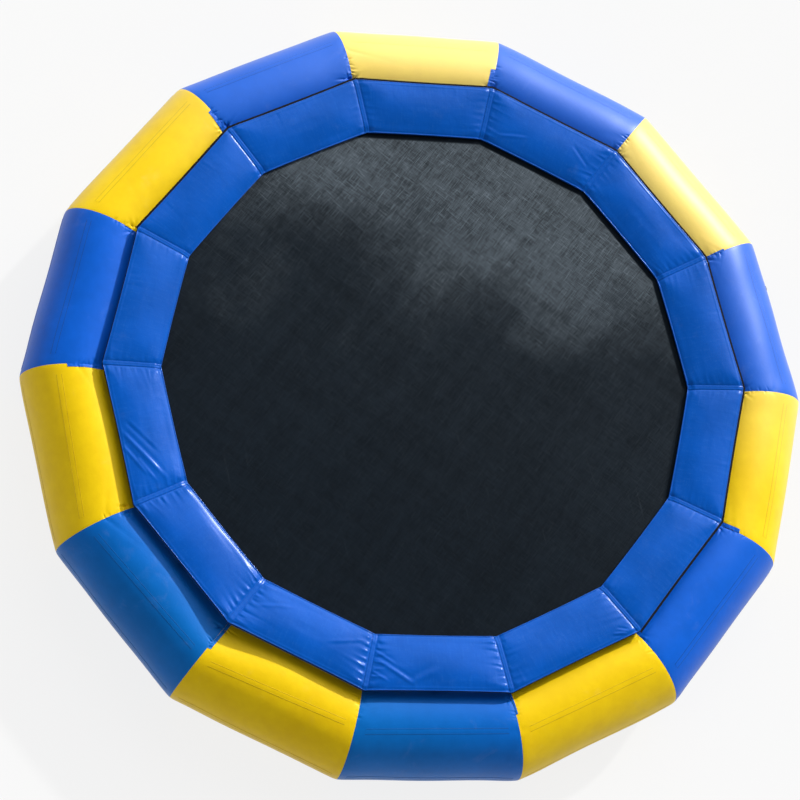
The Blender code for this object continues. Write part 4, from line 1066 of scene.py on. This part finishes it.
class PadShape:
    """The cushion of one side, by its place outward and along the side."""

    raise_reach = 0.30  # how far along a pad its slack corner is raised
    crown_top = 0.369  # the crown curve's own highest value
    end_reach = 0.16  # the stretch over which the crown rises from a mitre
    wave_height = 0.0017
    groove_depth = 0.0024  # beside the sewn band
    groove_width = 0.0055
    hem_depth = 0.0016  # of the sewn lines inside the outer and inner piping
    hem_width = 0.0030
    hem_outer = 0.013
    hem_inner = 0.012

    def __init__(self, side):
        pads = settings()[1]
        self.side = side
        self.pads = pads
        rng = np.random.default_rng(70 + side)
        strength = PUCKER_GAINS.get(side, 0.50)
        count = 15
        self.puckers = {}
        for end in (-1, 1):
            gain = strength * (1.3 if corner_at(side, end) in DEEP_PUCKER_CORNERS else 1.0)
            places = (np.arange(count) + 0.5 + rng.uniform(-0.3, 0.3, count)) / count
            self.puckers[end] = [(place, rng.uniform(0.0055, 0.0095), rng.uniform(0.05, 0.17),
                                  gain * rng.uniform(0.4, 1.0) * (1 if k % 2 else -0.8),
                                  rng.uniform(-0.20, 0.20)) for k, place in enumerate(places)]
        self.waves = [(rng.uniform(-14, 14), rng.uniform(-9, 9), rng.uniform(0, 6.3), rng.uniform(0.3, 1.0))
                      for _ in range(6)]
        self.tucks = [(rng.uniform(-0.47, 0.47), rng.uniform(0.007, 0.012), rng.uniform(0.03, 0.10),
                       rng.uniform(-1.0, 1.0), rng.uniform(-0.25, 0.25)) for _ in range(26)]
        self.folds = PAD_FOLDS.get(side, [])
        self.firmness = rng.uniform(0.80, 1.20)

    def share(self, x):
        """How far outward a place is, from 0 to 1."""
        return np.clip((x - PAD_INNER) / PAD_WIDTH, 0.0, 1.0)

    def raised(self, x, y):
        """How far the slack corners of the covers stand off the hoop."""
        lift = 0.0
        for end in (-1, 1):
            slack = SLACK_CORNERS.get(corner_at(self.side, end), 0.0)
            room = x * HALF_TAN - end * y
            lift = lift + slack * self.share(x) ** 1.6 * np.exp(-(room / self.raise_reach) ** 2)
        return lift

    def under(self, x, y):
        """Height of the underside."""
        return PAD_UNDER[0] + (PAD_UNDER[1] - PAD_UNDER[0]) * self.share(x) + self.raised(x, y)

    def plain(self, x, y):
        """Height of the top with its crown and rounded edges, without puckers or folds."""
        share = self.share(x)
        room = x * HALF_TAN - np.abs(y)
        height = self.under(x, y) + PAD_THICK[0] + (PAD_THICK[1] - PAD_THICK[0]) * share
        crown = share ** 1.3 * (1 - share) ** 0.45 / self.crown_top
        height = height + PAD_CROWN * self.pads.fill * crown * ease(0.15 + room / self.end_reach)
        edges = ((0.013, share * PAD_WIDTH, 0.055), (0.007, (1 - share) * PAD_WIDTH, 0.030),
                 (0.006, room - self.pads.band_width / 2, 0.040))
        for depth, distance, reach in edges:
            height = height - depth * (1 - ease(distance / reach))
        return height

    def top(self, x, y):
        """Height of the cushion's top."""
        share = self.share(x)
        inward, outward = (1 - share) * PAD_WIDTH, share * PAD_WIDTH
        room = x * HALF_TAN - np.abs(y)
        edge = np.minimum(share, 1 - share) * PAD_WIDTH
        band = self.pads.band_width / 2
        height = self.plain(x, y)
        height = height - self.groove_depth * np.exp(-((room - band - 0.002) / self.groove_width) ** 2)
        wave = sum(w * np.sin(a * x + b * y + c) for a, b, c, w in self.waves)
        height = height + self.wave_height * wave * ease(edge / 0.08) * ease(room / 0.12)
        for end in (-1, 1):
            near = np.where(np.sign(y) == end, room - band, OUT_OF_REACH)
            for place, wide, long, depth, fan in self.puckers[end]:
                across = outward - place * PAD_WIDTH - fan * np.maximum(near, 0.0)
                spread = wide * (1 + 1.2 * np.clip(near, 0, 0.2) / long)
                shape = np.exp(-(across / spread) ** 2) * np.exp(-np.maximum(near, 0.0) / (long * 0.60))
                height = height + self.pads.pucker * depth * shape * ease(near / 0.026) * ease(edge / 0.02)
        for place, wide, long, depth, fan in self.tucks:
            off = (y - place - fan * inward) / wide
            shape = np.exp(-off ** 2 - inward / long) * ease((inward - 0.012) / 0.02)
            height = height + self.pads.tuck * depth * shape
        for (x0, y0), (x1, y1), wide, depth in self.folds:
            dx, dy = x1 - x0, y1 - y0
            length = math.hypot(dx, dy)
            run = ((x - x0) * dx + (y - y0) * dy) / length
            off = (-(x - x0) * dy + (y - y0) * dx) / length
            taper = ease((run + 0.01) / (0.22 * length)) * ease((length - run) / (0.35 * length))
            shape = np.exp(-(off / wide) ** 2) - 0.4 * np.exp(-((off - 1.9 * wide) / wide) ** 2)
            height = height + depth * shape * taper * ease(edge / 0.015)
        hem = np.exp(-((inward - self.hem_outer) / self.hem_width) ** 2)
        hem = hem + np.exp(-((outward - self.hem_inner) / self.hem_width) ** 2)
        return height - self.hem_depth * hem


def doubled(field):
    """A grid of points with a smooth midpoint between each two of its lines, both ways."""
    for _ in range(2):
        ends = np.concatenate((2 * field[:1] - field[1:2], field, 2 * field[-1:] - field[-2:-1]))
        middle = (9 * (ends[1:-2] + ends[2:-1]) - ends[:-3] - ends[3:]) / 16
        out = np.empty((2 * len(field) - 1,) + field.shape[1:])
        out[0::2], out[1::2] = field, middle
        field = np.swapaxes(out, 0, 1)
    return field


def swollen_cover(shape, shares, along):
    """How far the cover of a pad moves at each place as it swells over its foam, by cloth simulation."""
    x = PAD_INNER + shares[:, None] * PAD_WIDTH + 0 * along[None, :]
    y = along[None, :] * x * HALF_TAN
    room = x * HALF_TAN - np.abs(y)
    edge = np.minimum(shares, 1 - shares)[:, None] * PAD_WIDTH
    rows, columns = x.shape
    count = rows * columns
    top = np.stack((x, y, shape.plain(x, y)), -1)
    pile = Pile()
    pile.sheet(top, np.stack((x, y, shape.under(x, y)), -1))
    blank = pile.piece("pad_blank", "pad_cover", None)
    held = np.flatnonzero((room < shape.pads.band_width / 2) | (edge + 0 * room < 0.012))
    pins = blank.vertex_groups.new(name="held")
    pins.add([int(i) for i in held] + list(range(count, 2 * count)), 1.0, "REPLACE")
    swell = blank.modifiers.new("swell", "CLOTH")
    cloth = swell.settings
    cloth.quality = 5
    cloth.mass = 0.3
    cloth.tension_stiffness = cloth.compression_stiffness = 15.0
    cloth.shear_stiffness = 6.0
    cloth.bending_stiffness = 0.5
    cloth.vertex_group_mass = "held"
    cloth.use_pressure = True
    cloth.uniform_pressure_force = shape.pads.pressure * shape.firmness
    cloth.effector_weights.gravity = 0.0
    swell.point_cache.frame_start, swell.point_cache.frame_end = 1, SWELL_FRAMES
    scene = bpy.context.scene
    start = scene.frame_current
    for step in range(1, SWELL_FRAMES + 1):
        scene.frame_set(step)
    done = blank.evaluated_get(bpy.context.evaluated_depsgraph_get())
    flat = np.empty(len(done.data.vertices) * 3)
    done.data.vertices.foreach_get("co", flat)
    moved = flat.reshape(-1, 3)[:count].reshape(rows, columns, 3) - top
    bpy.data.objects.remove(blank, do_unlink=True)
    scene.frame_set(start)
    far = np.linalg.norm(moved, axis=-1, keepdims=True)
    return moved * np.minimum(1.0, shape.pads.swell_cap / np.maximum(far, 1e-9))


def make_edge_pad(side):
    """One edge pad: a crowned foam cushion in a slack vinyl cover with puckered ends."""
    shape = PadShape(side)
    pads = shape.pads
    columns = pads.length_steps
    along = along_shares(columns, 0.30)
    steps = np.linspace(-1.0, 1.0, pads.width_steps)
    shares = 0.5 + 0.5 * (0.75 * steps + 0.25 * np.sin(math.pi / 2 * steps))
    swelling = doubled(swollen_cover(shape, shares[::2], along[::2]))
    levels = [k / 6 for k in range(1, 6)]
    rows = [("top", share, 1.0) for share in shares]
    rows += [("outer", 1.0, 1 - level) for level in levels]
    rows += [("under", share, 0.0) for share in np.linspace(1.0, 0.0, 7)]
    rows += [("inner", 0.0, level) for level in levels]
    grid = np.zeros((len(rows), columns, 3))
    place = np.zeros((len(rows), columns, 2))
    run, cut = 0.0, 0.0004
    draw = pads.draw_in * (1 - along ** 2)
    for i, (kind, share, level) in enumerate(rows):
        x = PAD_INNER + share * PAD_WIDTH + np.zeros(columns)
        if kind in ("outer", "inner"):
            out = 1 if kind == "outer" else -1
            x = x + out * (pads.side_belly * math.sin(math.pi * level) - draw)
        else:
            x = x + draw * (1 - 2 * share) * abs(1 - 2 * share)
        y = along * (x * HALF_TAN - cut / HALF_COS)
        if kind == "top":
            x, y, z = x + swelling[i, :, 0], y + swelling[i, :, 1], shape.top(x, y) + swelling[i, :, 2]
        else:
            z = shape.under(x, y)
            if level:
                edge = np.full(columns, PAD_INNER + share * PAD_WIDTH)
                z = z + (shape.top(edge, y) - z) * level
        grid[i] = np.stack((x, y, z), -1)
        if i:
            run += float(np.linalg.norm(grid[i, columns // 2] - grid[i - 1, columns // 2]))
        place[i] = np.stack((np.full(columns, run), y), -1)
    pile = Pile()
    pile.bag(turned(grid, side_turn(side)), place)
    obj = pile.piece(f"pad_{side:02d}", "pad_cover", "ring", 60.0)
    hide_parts(f"edge_pad_{side:02d}")


def make_pad_piping(side):
    """The welted beads round one pad and the webbing flange that stands out of its outer side."""
    shape = PadShape(side)
    pads = shape.pads
    pile = Pile()
    along = np.linspace(-1.0, 1.0, 61)
    draw = pads.draw_in * (1 - along ** 2)
    bead_sink, flange_half = 0.0012, 0.0012
    beads = ((PAD_OUTER, True, 0.0008), (PAD_OUTER, False, 0.0010), (PAD_INNER, True, -0.0008))
    for edge, above, out in beads:
        x = edge + draw * (1 if edge == PAD_INNER else -1) + out
        y = along * (x * HALF_TAN - PAD_GAP)
        full = np.full_like(x, edge)
        z = shape.top(full, y) - bead_sink if above else shape.under(full, y) + pads.bead
        pile.rod(turned(np.stack((x, y, z), -1), side_turn(side)), pads.bead, 8)
    obj = pile.piece(f"pad_piping_{side:02d}", "pad_welt", "ring", 60.0)
    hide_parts(f"edge_pad_{side:02d}")
    flange = Pile()
    reach = np.array([-0.002, 0.004, pads.near_flange if side in NEAR_SIDES else pads.flange])[:, None]
    x = PAD_OUTER - draw[None, :] + reach
    y = along[None, :] * (x * HALF_TAN - PAD_GAP)
    full = np.full_like(x, PAD_OUTER)
    low = shape.under(full, y)
    z = low + (shape.top(full, y) - low) * 0.90 - reach * 0.10
    grid = np.stack((x, y, z), -1)
    flange.sheet(*(turned(grid + (0, 0, half), side_turn(side)) for half in (flange_half, -flange_half)))
    obj = flange.piece(f"pad_flange_{side:02d}", "black_webbing_and_painted_shade")


def make_seam_band(corner):
    """The sewn strip that joins two pads at a corner, with its two rows of stitches."""
    pads = settings()[1]
    side = corner % SIDES + 1
    shape = PadShape(side)
    turn = -corner * SIDE_ANGLE
    half = pads.band_width / 2
    stitch_row = 0.80
    inner, outer = PAD_INNER / HALF_COS, PAD_OUTER / HALF_COS

    def seat(share, off):
        """Near the seam: how far outward a point is, and the heights of the pads' top and underside."""
        x = PAD_INNER + PAD_WIDTH * share
        y = x * HALF_TAN - abs(off)
        rho = inner + (outer - inner) * share - abs(off) * HALF_TAN
        return rho, float(shape.plain(x, y)), float(shape.under(x, y))

    line = [(0.0, level) for level in (0.15, 0.45, 0.75, 0.96)]
    line += [(share, 1.0) for share in 0.5 + 0.5 * np.sin(np.linspace(-1.48, 1.48, 44))]
    line += [(1.0, level) for level in (0.96, 0.75, 0.45, 0.15)]
    offsets = np.linspace(-half, half, 13)
    upper = np.zeros((len(line), len(offsets), 3))
    lower = np.zeros_like(upper)
    for i, (share, level) in enumerate(line):
        for j, w in enumerate(offsets):
            rho, top, low = seat(share, w)
            if level == 1.0:
                part = w / half
                crown = 0.0018 * (1 - part ** 6) - 0.0012 * math.exp(-((abs(part) - stitch_row) / 0.10) ** 2)
                crown += 0.0006 * math.sin(rho * 150 + corner) * (1 - part ** 2)
                upper[i, j] = (rho, w, top + crown)
                lower[i, j] = (rho, w, top - 0.0020)
            else:
                out = -1 if share == 0.0 else 1
                upper[i, j] = (rho + out * 0.0022, w, low + (top - low) * level)
                lower[i, j] = (rho - out * 0.0012, w, low + (top - low) * level)
    pile = Pile()
    pile.sheet(turned(upper, turn), turned(lower, turn))
    obj = pile.piece(f"pad_seam_band_{corner + 1:02d}", "pad_cover", "ring", 50.0)
    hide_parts(f"edge_pad_{side:02d}")
    stitches = Pile()
    pitch, length, thick, rise, margin = 0.0062, 0.0046, 0.0008, 0.0010, 0.006
    faces = [(0, 1, 2), (0, 2, 3), (4, 2, 1), (4, 3, 2), (0, 5, 1), (0, 3, 5), (4, 1, 5), (4, 5, 3)]
    for w in (-half * stitch_row, half * stitch_row):
        for k in range(1, int((outer - inner - 2 * margin) / pitch)):
            rho, z, _ = seat((margin + k * pitch) / (outer - inner), w)
            z += rise
            stitch = np.array([(rho - length / 2, w, z - 0.0006), (rho, w - thick, z), (rho, w, z + thick),
                               (rho, w + thick, z), (rho + length / 2, w, z - 0.0006), (rho, w, z - thick)])
            stitches.add(turned(stitch, turn), faces)
    thread = stitches.piece(f"band_stitches_{corner + 1:02d}", "stitch_thread")


def dress_node(name, finish_name):
    """Give a kept CAD node its finish, by its object's own material slots."""
    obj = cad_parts[name]
    for index in range(max(1, len(obj.material_slots))):
        obj.material_slots[index].link = "OBJECT"
        obj.material_slots[index].material = finish(finish_name)


def make_valve_patch():
    """The round reinforcing patch that the valve sits on."""
    pile = Pile()
    patch(pile, SideCloth(VALVE_SIDE), 0.0, VALVE_ALONG, (0.030, 0.075), lift=0.0022, sink=0.0004, spokes=48)
    obj = pile.piece("valve_patch", panel_finish(VALVE_SIDE))


def make_valve_spring():
    """The coil round the valve's stem."""
    foot, head, wire, radius = 0.0043, 0.0092, 0.0004, 0.0055
    skin = RING_APOTHEM + TUBE_RADIUS
    turns, steps = 3, 108
    path = []
    for k in range(steps + 1):
        turn = 2 * math.pi * turns * k / steps
        out = foot + wire + (head - foot - 2 * wire) * k / steps
        path.append((skin + out, VALVE_ALONG + radius * math.cos(turn),
                     TUBE_RADIUS + radius * math.sin(turn)))
    pile = Pile()
    pile.rod(turned(path, side_turn(VALVE_SIDE)), wire, 8)
    obj = pile.piece("valve_coil", "stainless")
    anchor = turned((skin + foot, VALVE_ALONG, TUBE_RADIUS), side_turn(VALVE_SIDE))
    out = turned((1.0, 0.0, 0.0), side_turn(VALVE_SIDE))
    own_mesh(obj)
    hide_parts("valve_spring")


def camera_matrix(stage):
    """The camera's place and turn from its azimuth, elevation, roll and distance."""
    az, el, roll = stage.azimuth, stage.elevation, stage.roll
    back = Vector((math.sin(az) * math.cos(el), -math.cos(az) * math.cos(el), math.sin(el)))
    right = Vector((math.cos(az), math.sin(az), 0.0))
    up = back.cross(right)
    level = right * math.cos(roll) + up * math.sin(roll)
    upright = up * math.cos(roll) - right * math.sin(roll)
    matrix = Matrix((level, upright, back)).transposed().to_4x4()
    matrix.translation = back * stage.distance
    return matrix


def make_floor(stage):
    """A pale floor that shows white to the camera and keeps the ring's soft shadow."""
    bm = bmesh.new()
    bmesh.ops.create_circle(bm, cap_ends=True, segments=96, radius=stage.floor_radius)
    bmesh.ops.translate(bm, vec=(0.0, 0.0, -0.001), verts=bm.verts)
    mesh = bpy.data.meshes.new("floor")
    bm.to_mesh(mesh)
    bm.free()
    f = Finish(bpy.data.materials.new("pale_floor"))
    ray = f.node("ShaderNodeLightPath", out="Is Camera Ray")
    seen = (ray + ray.beside("Is Glossy Ray") + ray.beside("Is Transmission Ray")).kept()
    shade = f.blend(f.noise(f.place(), 3.0, 4.0, 0.6), (0.62, 0.62, 0.62, 1), (0.66, 0.66, 0.66, 1))
    paper = f.node("ShaderNodeBsdfDiffuse", None, {"Color": shade})
    white = f.node("ShaderNodeEmission", None, {"Color": WHITE, "Strength": 1.0})
    both = f.node("ShaderNodeMixShader", None, {0: seen * (1 - stage.floor_shadow), 1: paper, 2: white})
    mesh.materials.append(f.show(both))
    floor = bpy.data.objects.new("floor", mesh)
    bpy.context.scene.collection.objects.link(floor)


def make_world(stage):
    """A soft sky, brightest round the key light and dim behind the camera, that the camera sees as white."""
    world = bpy.data.worlds.new("soft_sky")
    bpy.context.scene.world = world
    sky = Finish(world)
    east, north = sky.split(sky.node("ShaderNodeTexCoord", out="Generated"))
    height = east.beside(2)
    plan = east * math.cos(stage.glow_azimuth) + north * math.sin(stage.glow_azimuth)
    near_glow = plan * math.cos(stage.glow_elevation) + height * math.sin(stage.glow_elevation)
    glow = height.between(0.02, 0.88, stage.horizon_light, stage.zenith_light)
    glow = glow * plan.between(-0.9, 0.5, 0.75, 1.0)
    glow = glow + near_glow.between(0.743, 0.927, 0.0, stage.glow_strength)
    soft = sky.node("ShaderNodeBackground", None, {"Color": (0.97, 0.985, 1.0, 1.0), "Strength": glow})
    white = sky.node("ShaderNodeBackground", None, {"Color": WHITE, "Strength": 1.0})
    ray = sky.node("ShaderNodeLightPath", out="Is Camera Ray")
    sky.show(sky.node("ShaderNodeMixShader", None, {0: ray, 1: soft, 2: white}), "ShaderNodeOutputWorld")


def make_key_light(stage):
    """A distant key light, a little softer than the sun."""
    lamp = bpy.data.lights.new("key_light", "SUN")
    lamp.energy = stage.sun_strength
    lamp.angle = stage.sun_size
    lamp.color = (1.0, 0.985, 0.95)
    obj = bpy.data.objects.new("key_light", lamp)
    azimuth, elevation = stage.sun_azimuth, stage.sun_elevation
    plan = math.cos(elevation)
    towards_lamp = Vector((math.cos(azimuth) * plan, math.sin(azimuth) * plan, math.sin(elevation)))
    obj.rotation_euler = (-towards_lamp).to_track_quat("-Z", "Y").to_euler()
    obj.location = towards_lamp * 12
    bpy.context.scene.collection.objects.link(obj)


class TrampolineRing(bpy.types.PropertyGroup):
    """Sizes and colours of the air ring."""
    odd_colour: FloatVectorProperty(
        name="Odd panels", description="Cloth colour of panels 1, 3, 5 and so on",
        subtype="COLOR", size=4, min=0.0, max=1.0, default=(1.0, 0.655, 0.004, 1.0))
    even_colour: FloatVectorProperty(
        name="Even panels", description="Cloth colour of panels 2, 4, 6 and so on",
        subtype="COLOR", size=4, min=0.0, max=1.0, default=(0.001, 0.115, 0.640, 1.0))
    # The even panels' tone on the side away from the light, which the cloth is blended to there.
    near_colour: FloatVectorProperty(
        name="Even panels, near side",
        description="The slightly greener dye lot of the even panels on the camera's side",
        subtype="COLOR", size=4, min=0.0, max=1.0, default=(0.001, 0.160, 0.560, 1.0))
    # Painted sheen: the paler colour that the odd panels are blended to on the side towards the light.
    odd_lit_side_colour: FloatVectorProperty(
        name="Odd panels, faded", description="Colour that the odd panels fade to on the sunny side",
        subtype="COLOR", size=4, min=0.0, max=1.0, default=(1.0, 0.82, 0.33, 1.0))
    tube_radius: FloatProperty(
        name="Tube radius", description="Radius of the inflated cloth",
        unit="LENGTH", default=0.3945)
    seam_pinch: FloatProperty(
        name="Seam pinch", description="How far the cloth draws in at a mitre",
        unit="LENGTH", default=0.004)
    slack: FloatProperty(
        name="Slack", description="Height of the cloth's waves and gathers",
        unit="LENGTH", default=0.0042)
    tape_thickness: FloatProperty(
        name="Tape thickness", description="Height of the seam tapes over the cloth",
        unit="LENGTH", default=0.0011)
    length_steps: IntProperty(
        name="Length steps", description="Lines of points along a panel",
        default=63)


class TrampolinePads(bpy.types.PropertyGroup):
    """Sizes and colours of the edge pads."""
    cover_colour: FloatVectorProperty(
        name="Cover", description="Colour of the vinyl covers",
        subtype="COLOR", size=4, min=0.0, max=1.0, default=(0.0008, 0.089, 0.468, 1.0))
    thread_colour: FloatVectorProperty(
        name="Thread", description="Colour of the stitches",
        subtype="COLOR", size=4, min=0.0, max=1.0, default=(0.004, 0.085, 0.420, 1.0))
    fill: FloatProperty(
        name="Fill", description="Share of the full crown that the foam block has",
        subtype="FACTOR", min=0.0, max=1.5, default=0.35)
    pressure: FloatProperty(
        name="Swell", description="Pressure that swells the cover over its foam",
        default=2.8)
    swell_cap: FloatProperty(
        name="Swell cap", description="Furthest that a cover may stand off its foam",
        unit="LENGTH", default=0.015)
    pucker: FloatProperty(
        name="Pucker", description="Height of the gathers at the seams",
        unit="LENGTH", default=0.0042)
    tuck: FloatProperty(
        name="Tuck", description="Height of the gathers along the outer edge",
        unit="LENGTH", default=0.0014)
    flange: FloatProperty(
        name="Flange", description="How far the webbing flange stands out",
        unit="LENGTH", default=0.0215)
    near_flange: FloatProperty(
        name="Near flange", description="How far the flange stands out on the camera's side",
        unit="LENGTH", default=0.009)
    band_width: FloatProperty(
        name="Band width", description="Width of the sewn strip between pads",
        unit="LENGTH", default=0.036)
    draw_in: FloatProperty(
        name="Draw in", description="How far a pad's long edges pull in at their middle",
        unit="LENGTH", default=0.005)
    side_belly: FloatProperty(
        name="Side belly", description="How far a pad's side faces stand out",
        unit="LENGTH", default=0.003)
    bead: FloatProperty(
        name="Piping", description="Radius of the piping",
        unit="LENGTH", default=0.0036)
    width_steps: IntProperty(
        name="Width steps", description="Lines of points across a pad",
        default=73)
    length_steps: IntProperty(
        name="Length steps", description="Lines of points along a pad",
        default=121)


class TrampolineMat(bpy.types.PropertyGroup):
    """Sizes and colours of the jump mat and its springs."""
    weave_colour: FloatVectorProperty(
        name="Weave", description="Colour of the woven mat",
        subtype="COLOR", size=4, min=0.0, max=1.0, default=(0.0056, 0.0096, 0.0148, 1.0))
    # Used for the rubbed threads and also for the mat's painted sheen.
    scuff_and_sheen_colour: FloatVectorProperty(
        name="Scuffs", description="Colour of the rubbed threads",
        subtype="COLOR", size=4, min=0.0, max=1.0, default=(0.085, 0.105, 0.125, 1.0))
    mat_slack: FloatProperty(
        name="Slack", description="How far the mat hangs below its plane",
        unit="LENGTH", default=0.0015)
    wire: FloatProperty(
        name="Spring wire", description="Diameter of the spring wire",
        unit="LENGTH", default=0.0032)


class TrampolineStage(bpy.types.PropertyGroup):
    """Camera, light and floor."""
    azimuth: FloatProperty(
        name="Camera azimuth", description="Turn of the camera about the ring's axis",
        subtype="ANGLE", default=math.radians(224.43))
    elevation: FloatProperty(
        name="Camera elevation", description="Height of the camera over the horizon",
        subtype="ANGLE", default=math.radians(69.66))
    roll: FloatProperty(
        name="Camera roll", description="Turn of the camera about its own axis",
        subtype="ANGLE", default=math.radians(33.21))
    distance: FloatProperty(
        name="Camera distance", description="From the camera to the ring's centre on the floor",
        unit="LENGTH", default=18.484)
    lens: FloatProperty(
        name="Lens", description="Focal length",
        unit="CAMERA", default=105.76)
    sun_azimuth: FloatProperty(
        name="Sun azimuth", description="Where the key light comes from",
        subtype="ANGLE", default=math.radians(-58))
    sun_elevation: FloatProperty(
        name="Sun elevation", description="Height of the key light",
        subtype="ANGLE", default=math.radians(31))
    sun_strength: FloatProperty(
        name="Sun strength", description="Strength of the key light",
        default=2.9)
    sun_size: FloatProperty(
        name="Sun size", description="Angle across the key light",
        subtype="ANGLE", default=math.radians(2.5))
    glow_azimuth: FloatProperty(
        name="Glow azimuth", description="Where the soft glow in the sky is",
        subtype="ANGLE", default=math.radians(-42))
    glow_elevation: FloatProperty(
        name="Glow elevation", description="Height of the middle of the glow",
        subtype="ANGLE", default=math.radians(35))
    glow_strength: FloatProperty(
        name="Glow strength", description="Strength of the glow",
        default=1.9)
    horizon_light: FloatProperty(
        name="Horizon light", description="Strength of the sky at the horizon",
        default=0.75)
    zenith_light: FloatProperty(
        name="Zenith light", description="Strength of the sky overhead",
        default=0.22)
    floor_radius: FloatProperty(
        name="Floor radius", description="Radius of the floor",
        unit="LENGTH", default=30.0)
    floor_shadow: FloatProperty(
        name="Floor shadow", description="Share of the floor's shading that the camera sees",
        subtype="FACTOR", min=0.0, max=1.0, default=0.16)


class TRAMPOLINE_OT_stage(bpy.types.Operator):
    """Set up the camera, the light and the floor"""
    bl_idname = "trampoline.stage"
    bl_label = "Stage"

    def execute(self, context):
        stage = context.scene.trampoline_stage
        lens = bpy.data.cameras.new("photo_camera")
        lens.sensor_width = 36.0
        lens.lens = stage.lens
        lens.shift_x, lens.shift_y = FRAME_SHIFT
        lens.clip_end = 200.0
        camera = bpy.data.objects.new("photo_camera", lens)
        camera.matrix_world = camera_matrix(stage)
        context.scene.collection.objects.link(camera)
        context.scene.camera = camera
        context.scene.view_settings.view_transform = "Standard"
        make_floor(stage)
        make_world(stage)
        make_key_light(stage)
        return {"FINISHED"}


class TRAMPOLINE_OT_panels(bpy.types.Operator):
    """Make the fourteen panels of the air ring"""
    bl_idname = "trampoline.panels"
    bl_label = "Air ring panels"

    def execute(self, context):
        for side in range(1, SIDES + 1):
            make_tube_panel(side)
        return {"FINISHED"}


class TRAMPOLINE_OT_panel_trim(bpy.types.Operator):
    """Make the seam tapes, weld lines, mitre laps and hoop tunnels"""
    bl_idname = "trampoline.panel_trim"
    bl_label = "Tapes, laps and tunnels"

    def execute(self, context):
        for side in range(1, SIDES + 1):
            make_panel_trim(side)
            make_hoop_tunnel(side)
        return {"FINISHED"}


class TRAMPOLINE_OT_hoop(bpy.types.Operator):
    """Make the seven hoop sections and finish their screws"""
    bl_idname = "trampoline.hoop"
    bl_label = "Hoop"

    def execute(self, context):
        for index in range(1, 8):
            make_hoop_section(index)
            dress_node(f"frame_screw_{index}", "stainless")
        return {"FINISHED"}


class TRAMPOLINE_OT_springs(bpy.types.Operator):
    """Make the springs and the mat's hem"""
    bl_idname = "trampoline.springs"
    bl_label = "Springs and hem"

    def execute(self, context):
        for side in range(1, SIDES + 1):
            make_side_springs(side)
            make_mat_hem(side)
        return {"FINISHED"}


class TRAMPOLINE_OT_mat(bpy.types.Operator):
    """Make the woven jump mat"""
    bl_idname = "trampoline.mat"
    bl_label = "Jump mat"

    def execute(self, context):
        make_jump_mat()
        return {"FINISHED"}


class TRAMPOLINE_OT_pads(bpy.types.Operator):
    """Make the fourteen edge pads with their piping and seam bands"""
    bl_idname = "trampoline.pads"
    bl_label = "Edge pads"

    def execute(self, context):
        for side in range(1, SIDES + 1):
            make_edge_pad(side)
            make_pad_piping(side)
        for corner in range(SIDES):
            make_seam_band(corner)
        return {"FINISHED"}


class TRAMPOLINE_OT_anchors(bpy.types.Operator):
    """Make the anchor rings and their keepers"""
    bl_idname = "trampoline.anchors"
    bl_label = "Anchor rings"

    def execute(self, context):
        for number, side in enumerate(ANCHOR_SIDES, 1):
            make_anchor_keeper(side, number)
            make_anchor_ring(side, number)
        return {"FINISHED"}


class TRAMPOLINE_OT_valve(bpy.types.Operator):
    """Make the valve's patch and spring and finish its other parts"""
    bl_idname = "trampoline.valve"
    bl_label = "Valve"

    def execute(self, context):
        make_valve_patch()
        dress_node("valve_body", "valve_plastic")
        dress_node("valve_stem", "black_plastic")
        dress_node("valve_cap", "black_plastic")
        make_valve_spring()
        return {"FINISHED"}


OPERATORS = (TRAMPOLINE_OT_stage, TRAMPOLINE_OT_panels, TRAMPOLINE_OT_panel_trim, TRAMPOLINE_OT_hoop,
             TRAMPOLINE_OT_springs, TRAMPOLINE_OT_mat, TRAMPOLINE_OT_pads, TRAMPOLINE_OT_anchors,
             TRAMPOLINE_OT_valve)
GROUPS = {"trampoline_ring": TrampolineRing, "trampoline_pads": TrampolinePads,
          "trampoline_mat": TrampolineMat, "trampoline_stage": TrampolineStage}


class TRAMPOLINE_PT_build(bpy.types.Panel):
    """Lists the trampoline's pieces and their sizes"""
    bl_label = "Water trampoline"
    bl_idname = "TRAMPOLINE_PT_build"
    bl_space_type = "VIEW_3D"
    bl_region_type = "UI"
    bl_category = "Trampoline"

    def draw(self, context):
        for operator in OPERATORS:
            self.layout.operator(operator.bl_idname)
        for name, group in GROUPS.items():
            box = self.layout.box()
            for prop in group.__annotations__:
                box.prop(getattr(context.scene, name), prop)


def register():
    """Add the classes and the scene's settings."""
    for group in GROUPS.values():
        bpy.utils.register_class(group)
    for name, group in GROUPS.items():
        setattr(bpy.types.Scene, name, PointerProperty(type=group))
    for operator in OPERATORS:
        bpy.utils.register_class(operator)
    bpy.utils.register_class(TRAMPOLINE_PT_build)


def unregister():
    """Take them away again."""
    bpy.utils.unregister_class(TRAMPOLINE_PT_build)
    for operator in reversed(OPERATORS):
        bpy.utils.unregister_class(operator)
    for name, group in GROUPS.items():
        delattr(bpy.types.Scene, name)
        bpy.utils.unregister_class(group)


def main():
    """Dress the whole trampoline."""
    register()
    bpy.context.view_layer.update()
    bpy.ops.trampoline.stage()
    bpy.ops.trampoline.panels()
    bpy.ops.trampoline.panel_trim()
    bpy.ops.trampoline.hoop()
    bpy.ops.trampoline.springs()
    bpy.ops.trampoline.mat()
    bpy.ops.trampoline.pads()
    bpy.ops.trampoline.anchors()
    bpy.ops.trampoline.valve()


if __name__ == "__main__":
    main()
